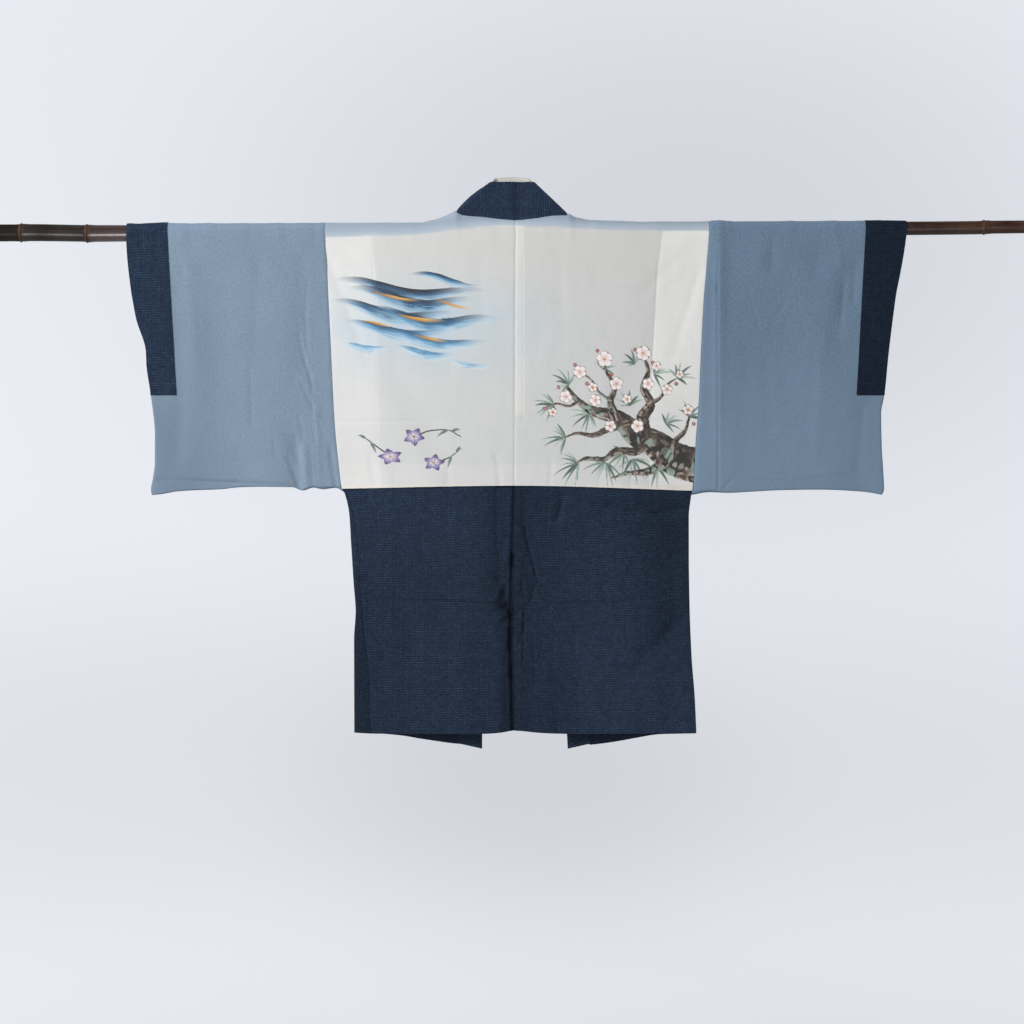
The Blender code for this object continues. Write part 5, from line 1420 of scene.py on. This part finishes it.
# Painted shade over every panel, which the facings and collar of the same navy don't get.
PANEL_SHADE = 0.15
back_hem, front_hem, gusset_width = curve(BACK_HEM), curve(FRONT_HEM), curve(GUSSET_WIDTH)


def gusset_shown(z):
    """Width of the gusset that shows: it opens out between the waist and the sleeve's bottom."""
    return gusset_width(z) * ease((WAIST - z) / (WAIST - SLEEVE_BOTTOM))


def left_back_seam(z):
    """The left gusset is folded outwards, so the left panels end inside the side line."""
    return left_side(z) + gusset_shown(z)


def drop_to(hem, x, share):
    """Height at this share of the way from the waist seam down to the hem."""
    top = waist_line(x) - SEAM / 2
    return top + (hem(x) - top) * share


def skirt_grid(outer, inner, hem, way, across, rows, wide, fine):
    """A lower panel, from under the lining's hem down to its own, between two seams."""
    share = np.linspace(-UNDER_LAP, 1, rows + 1)[:, None]
    x, z = settle(
        lambda z: between(outer(z), inner(z), across), lambda x: drop_to(hem, x, share),
        WAIST + (drop_to(hem, 0, 1) - WAIST) * share
    )
    return hang(x, z, way, wide, fine, uneven=0.35)


BACK_ACROSS = np.concatenate([np.linspace(0, 0.74, 75)[:-1], np.linspace(0.74, 1, 62)])  # closer at last
FRONT_ACROSS = np.linspace(0, 1, 52)
LAYERS = {  # hem, shares across, rows, folds, creases and painted shade of each side, back and fronts
    -1: (back_hem, BACK_ACROSS, 186, BACK_FOLDS, BACK_CREASES, BACK_SHADES),
    1: (front_hem, FRONT_ACROSS, 144, FRONT_FOLDS, FRONT_CREASES, FRONT_SHADES)
}
PANELS = (  # name, node, outer and inner seam, side
    ("back_panel_left", "back_left", left_back_seam, lambda z: centre_seam(z) + SEAM / 2, -1),
    ("back_panel_right", "back_right", right_side, lambda z: centre_seam(z) - SEAM / 2, -1),
    ("front_panel_left", "front_left", left_back_seam, left_front_seam, 1),
    ("front_panel_right", "front_right", right_side, right_front_seam, 1)
)
for number, (name, node, outer, inner, way) in enumerate(PANELS):
    hem, across, rows, wide, fine, shaded = LAYERS[way]
    middle = skirt_grid(outer, inner, hem, way, across, rows, wide, fine)
    height = middle[..., 2]
    down = from_first(middle, 0)
    sunk = TUCK * ease(1 - (down - 8) / TUCK_REACH)
    sunk = sunk + seam_groove(from_first(middle, 1), height, 30 + number, deep=0.6)
    sunk = sunk + seam_groove(from_last(middle, 1), height, 40 + number, deep=0.6)
    if way < 0:
        x0, z0, wide_x, wide_z = GATHERS
        gathers = np.exp(-(((middle[..., 0] - x0) / wide_x) ** 2) - ((height - z0) / wide_z) ** 2)
        uneven = 0.9 * gathers * rumple(middle[..., 0] * 1.3, height, 12.0, 77)
        uneven = uneven + 0.5 * rumple(middle[..., 0], height * 0.7, 34.0, 78)
        sunk = sunk + uneven * ease((WAIST - 8 - height) / 24)
    middle = lifted(middle, -sunk[..., None])
    panel, used, points = add_cloth(name, middle, SHELL_WALL, navy, navy)
    # Painted shade and light on the panel, kept in its shade attribute.
    shade = np.clip(PANEL_SHADE + folds(shaded, points[:, 0], points[:, 2]), 0, 0.8)
    mark(panel, "shade", shade[used])
    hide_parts(node)
    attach(panel, "root")
    width = abs(inner(-650.0) - outer(-650.0)) * MM

# ---- Gussets ------------------------------------------------------------------------------
# A long wedge is sewn between back and front down each side and folded in two. The left one has
# fallen outwards, and shows beyond the back's edge. The right one is folded in between the panels.
GUSSET_RUN = 1.0
GUSSET_INSET = 1.5
GUSSET_CLEAR = 0.9
GUSSET_LEAST = 0.4


def right_gusset_seam(z):
    return right_side(z) - GUSSET_INSET


def left_gusset_reach(z):
    return np.maximum(gusset_shown(z) - GUSSET_RUN - (CLOTH_WALL + SEAM) / 2, GUSSET_LEAST)


def gusset_grid(seam, reach_at, clear):
    """From the back seam round the fold to the front seam: half an ellipse, as deep as the panels
    stand apart and as wide as the wedge at that height, between two short straight runs."""
    turn = np.radians(np.concatenate([[-90], steps(-90.0, 25, 90.0), [90]]))
    start = np.full(len(turn), GUSSET_RUN)
    start[[0, -1]] = 0
    share = np.linspace(0.014, 1, 121)[:, None]
    x, z = settle(
        lambda z: seam(z) - start - reach_at(z) * np.cos(turn), lambda x: drop_to(back_hem, x, share),
        WAIST + (drop_to(back_hem, 0, 1) - WAIST) * share
    )
    back, front = (hang(x, z, way, table)[..., 1] for way, table in ((-1, BACK_FOLDS), (1, FRONT_FOLDS)))
    leaning = sway(x, z)
    depth = np.where(turn < 0, leaning - back, front - leaning) - clear
    return np.stack([x, leaning + depth * np.sin(turn), z], axis=-1)


GUSSETS = (  # name, node, seam, reach, how far it keeps clear of the panels
    ("gusset_folded_out", "gusset_left", left_back_seam, left_gusset_reach, 0.0),
    ("gusset_folded_in", "gusset_right", right_gusset_seam, gusset_width, CLOTH_WALL + GUSSET_CLEAR)
)
for name, node, seam, reach_at, clear in GUSSETS:
    middle = gusset_grid(seam, reach_at, clear)
    places = np.stack([from_first(middle, 1), from_first(middle, 0)], axis=-1) * MM
    gusset, used, points = add_cloth(name, middle, SHELL_WALL, navy, navy, places=places)
    # Painted shade: the gusset darker than the panels, more so towards the hem, where it turns away and
    # lies deeper.
    shade = 0.24 + 0.24 * ease((-540 - points[:, 2]) / 110)
    mark(gusset, "shade", shade[used])
    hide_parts(node)
    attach(gusset, "root")

# ---- Collar -------------------------------------------------------------------------------
# One long band of navy cloth, folded lengthwise over a cotton core and joined at the back of the
# neck. It stands at the back neck, rolls at each side of it and runs down both fronts to the hem.
TOP_OF_COLLAR = 82.2
COLLAR_HEM = -876.0
NEAR_COLLAR_Y = -6.0
FAR_COLLAR_Y = 15.0
COLLAR_WALL = 2.0
COLLAR_BOWS = ((-3.6, 0.0, 2.4), (0.3, 0.0, 0.3))  # how far the band bows out at each side of the neck
CORE_WALL = 0.9
CORE_GAP = 0.6
CORE_HOLLOW = (2.9, 4.0, 26.0)  # how far the core sinks behind the neck: depth, x, reach
NECK_CLEAR = 1.3  # how far inside the neck line the band is sewn
LEFT_COLLAR_EDGE = ((90, -31), (20, -42), (-100, -50), (-300, -55), (-885, -60.4))  # z, x
RIGHT_COLLAR_EDGE = ((90, 16), (20, 26), (-100, 38), (-300, 54), (-885, 85.9))
# How far the collar's inner edge runs ahead of its seam where it fans out at the neck: z, height
COLLAR_FAN = ((-876, -8.5), (-800, -2), (-250, 0), (-180, 6), (-120, 18), (-70, 36), (-30, 58), (0, 80))
# Free edge at the sides of the neck: x, z, then x behind
COLLAR_CORNERS = ((-52.2, 77.0, -45.5), (34.0, 75.5, 27.5))
collar_fan = curve(COLLAR_FAN)


def collar_rails():
    """The band's two long edges, seam and free edge, from the left hem round the neck to the right
    hem, and how far the band bows between them. The front runs hang; at each side of the neck the
    seam follows the shoulder's ellipse while the free edge rolls through half a turn."""
    drops = steps(COLLAR_HEM, 219, 0.0)
    turns = steps(171.0, 14, NECK_ANGLE)
    roll = (FAR_COLLAR_Y - NEAR_COLLAR_Y) / 2
    neck_shares = steps(0.0, 48, 1.0)[1:-1]
    phase = np.radians((turns - NECK_ANGLE) / (180 - NECK_ANGLE) * 180)

    def front(seam_x, edge_x, sign):
        clear = sign * (0.5 - 1.8 * ease((drops + 60) / 60))
        seam = hang(seam_x(drops) + clear, drops, 1, uneven=0.1)
        seam[:, 1] += 0.4
        edge_z = drops + collar_fan(drops)
        edge_y = FAR_COLLAR_Y + (seam[:, 1] - FAR_COLLAR_Y) * ease(-drops / 300)
        return seam, np.stack([edge_x(edge_z), edge_y, edge_z], axis=-1)

    def corner(neck, edge_x, corner_place, sign):
        seam = over(neck - sign * NECK_CLEAR, turns)
        near, far = np.array([[-0.4, -0.5]]), np.array([[0.0, 1.1]])
        seam[:, 1:] += between(near, far, ease((turns[:, None] - 70) / 50))
        flat_x = between(edge_x(TOP_OF_COLLAR), corner_place[2], 0.5 + 0.5 * np.cos(phase))
        x = flat_x + (corner_place[0] - flat_x) * np.sin(phase)
        z = TOP_OF_COLLAR + (corner_place[1] - TOP_OF_COLLAR) * np.sin(phase)
        return seam, np.stack([x, NEAR_COLLAR_Y + roll * (1 - np.cos(phase)), z], axis=-1)

    left, left_edge = front(left_front_seam, curve(LEFT_COLLAR_EDGE), -1)
    right, right_edge = front(right_front_seam, curve(RIGHT_COLLAR_EDGE), 1)
    left_turn, left_turn_edge = corner(NECK_LEFT, curve(LEFT_COLLAR_EDGE), COLLAR_CORNERS[0], -1)
    right_turn, right_turn_edge = corner(NECK_RIGHT, curve(RIGHT_COLLAR_EDGE), COLLAR_CORNERS[1], 1)
    back = over(between(NECK_LEFT + NECK_CLEAR, NECK_RIGHT - NECK_CLEAR, neck_shares), NECK_ANGLE)
    back[:, 1:] += (-0.4, -0.5)
    edge_x = between(left_turn_edge[-1, 0], right_turn_edge[-1, 0], neck_shares)
    top = np.full_like(edge_x, TOP_OF_COLLAR)
    back_edge = np.stack([edge_x, np.full_like(edge_x, NEAR_COLLAR_Y), top], axis=-1)
    seam = np.concatenate([left, left_turn, back, right_turn[::-1], right[::-1]])
    edge = np.concatenate([left_edge, left_turn_edge, back_edge, right_turn_edge[::-1], right_edge[::-1]])
    bow = np.zeros((len(seam), 3))
    first = len(drops)
    bow[first : first + len(turns)] = np.sin(phase)[:, None] * COLLAR_BOWS[0]
    bow[-first - len(turns) : -first] = np.sin(phase[::-1])[:, None] * COLLAR_BOWS[1]
    return seam, edge, bow, slice(first + 1, len(seam) - first - 8)


def collar_grid(shares):
    """The band at these shares of its width, and the rows of its neck."""
    seam, edge, bow, neck = collar_rails()
    shares = np.asarray(shares)[None, :, None]
    return seam[:, None] + (edge - seam)[:, None] * shares + bow[:, None] * 4 * shares * (1 - shares), neck


def band_places(middle):
    """Places on the flat band: how far across from the seam, and how far along it from the hem. The
    back of the neck stands upright there, so its threads are level and upright too."""
    along = from_first(middle, 0)[:, :1]
    round_band = np.stack(np.broadcast_arrays(from_first(middle, 1), along), axis=-1)
    corner = np.abs(middle[:, 0, 0] - NECK_LEFT).argmin()
    upright = np.stack([middle[..., 2], middle[..., 0] - middle[corner, 0, 0] + along[corner]], axis=-1)
    return between(round_band, upright, ease((7 - middle[..., 1:2]) / 10)) * MM


COLLAR_CREASES = (
    (-1.7, 18, -1.7, 84, 1.6, 0.5), (6, 16, 5, 86, 11, 2.4), (-14, 16, -14, 86, 9, -0.8),
    (-70, 30, -40, 70, 6, 0.4), (60, 32, 30, 66, 6, 0.4)
)


def collar_sunk(middle):
    """How far the band's creases at the back of the neck sink."""
    return folds(COLLAR_CREASES, middle[..., 0], middle[..., 2]) * ease((middle[..., 2] - 16) / 6)


middle, _ = collar_grid(np.unique(np.concatenate([np.linspace(0, 1, 19), [0.965, 0.98, 0.992]])))
places = band_places(middle)
sunk = collar_sunk(middle) + 0.25 * rumple(places[..., 0] / MM, places[..., 1] / MM, 21.0, 61)
sunk = sunk + seam_groove(from_first(middle, 1), places[..., 1] / MM, 62, deep=0.4)
middle = lifted(middle, -sunk[..., None])
face = lifted(middle, COLLAR_WALL / 2)
sewn_lines.append((9.0, "dark", face[:, 1], face[:, 0]))
to_edge = np.clip(from_last(middle, 1) / 1.8, 0, 1)
thickness = COLLAR_WALL * (0.22 + 0.78 * np.sqrt(1 - (1 - to_edge) ** 2))[..., None]
collar, _, _ = add_cloth("collar_band", middle, thickness, navy, navy, places=places)
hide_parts("collar")
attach(collar, "root")

core_cotton, tree, shader = new_material("cream cotton strip")  # bleached plain cotton, dull and soft
place = add_node(tree, "TexCoord").outputs["UV"]
weave = add_node(tree, "TexNoise", {0: place, "Scale": 700.0, "Detail": 2.0})
cream = add_node(tree, "Mix", {0: weave, 6: "#C5C3BD", 7: "#D4D2CD"}, data_type="RGBA")
feed(shader, {"Base Color": cream, "Roughness": 0.85, "Specular IOR Level": 0.2})
middle, neck = collar_grid(np.linspace(0.62, 1.13, 13))
deep, core_x, reach = CORE_HOLLOW
hollow = deep * bell(middle[..., 0] - core_x, reach) * ease((middle[..., 2] - 16) / 6)
middle = lifted(middle, -(COLLAR_WALL / 2 + CORE_GAP + CORE_WALL / 2 + hollow)[..., None])
middle = middle[neck]
middle = middle[: (len(middle) - 1) // 3 * 3 + 1]
core, _, _ = add_cloth(
    "collar_core_strip", middle, CORE_WALL, core_cotton, core_cotton, places=band_places(middle)
)
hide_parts("collar_core")
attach(core, "root")

# ---- Stitches -----------------------------------------------------------------------------
# Hand sewing: small slip stitches in dark blue silk along the facings and the collar's seam, and
# in off-white silk along the lining's hems. Each is a short lens of thread half sunk in the cloth.
STITCH_LENGTH = 1.8
STITCH_WIDTH = 0.5
STITCH_HEIGHT = 0.35
STITCH_SHAKE = 0.8
STITCH_SLANT = 0.25
STITCH_THREADS = {
    "dark": ("dark blue sewing silk", "#1B2738"), "pale": ("off-white sewing silk", "#CBC8BE")
}
LENS = np.array([(1, 0, 0), (-1, 0, 0), (0, 1, 0), (0, -1, 0), (0, 0, 1), (0, 0, -1)]) / 2
LENS_FACES = np.array(
    [(0, 2, 4), (2, 1, 4), (1, 3, 4), (3, 0, 4), (2, 0, 5), (1, 2, 5), (3, 1, 5), (0, 3, 5)]
)


def stitches(spacing, path, beside):
    """Lenses along a path, even in length: each lies along it, slanted a little, flat on the cloth."""
    length = running(np.linalg.norm(np.diff(path, axis=0), axis=1))
    at = np.arange(spacing / 2, length[-1], spacing)
    shaken = at + np.random.default_rng(len(path)).uniform(-STITCH_SHAKE, STITCH_SHAKE, len(at))

    def along(row):
        return np.stack([np.interp(row, length, column) for column in path.T], axis=1)

    edge = np.stack([np.interp(shaken, length, column) for column in beside.T], axis=1) - along(shaken)
    run = along(shaken + 1) - along(shaken - 1) + STITCH_SLANT * edge
    run = run / np.linalg.norm(run, axis=1, keepdims=True)
    up = np.cross(run, edge)
    up = up / np.linalg.norm(up, axis=1, keepdims=True)
    frames = np.stack([run * STITCH_LENGTH, np.cross(up, run) * STITCH_WIDTH, up * STITCH_HEIGHT], axis=1)
    return along(shaken)[:, None] + np.einsum("pk,nkj->npj", LENS, frames)


threads = []
for name, colour in STITCH_THREADS.values():
    made, tree, shader = new_material(name)
    twist = add_node(tree, "TexCoord").outputs["Object"]
    plies = add_node(tree, "TexNoise", {0: twist, "Scale": 2500.0, "Detail": 2.0})
    pale = tuple(min(1.0, 1.35 * part) for part in linear(colour))
    tone = add_node(tree, "Mix", {0: plies, 6: colour, 7: pale}, data_type="RGBA")
    feed(shader, {"Base Color": tone, "Roughness": 0.45})
    threads.append(made)
points, faces, chosen = [], [], []
first = 0
for spacing, thread, path, beside in sewn_lines:
    lenses = stitches(spacing, path, beside)
    points.append(lenses.reshape(-1, 3))
    faces.append((first + len(LENS) * np.arange(len(lenses))[:, None, None] + LENS_FACES).reshape(-1, 3))
    chosen.append(list(STITCH_THREADS).index(thread))
    first += len(LENS) * len(lenses)
sewing, _ = add_mesh("hand_stitches", np.concatenate(points), faces, threads, chosen)
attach(sewing, "root")
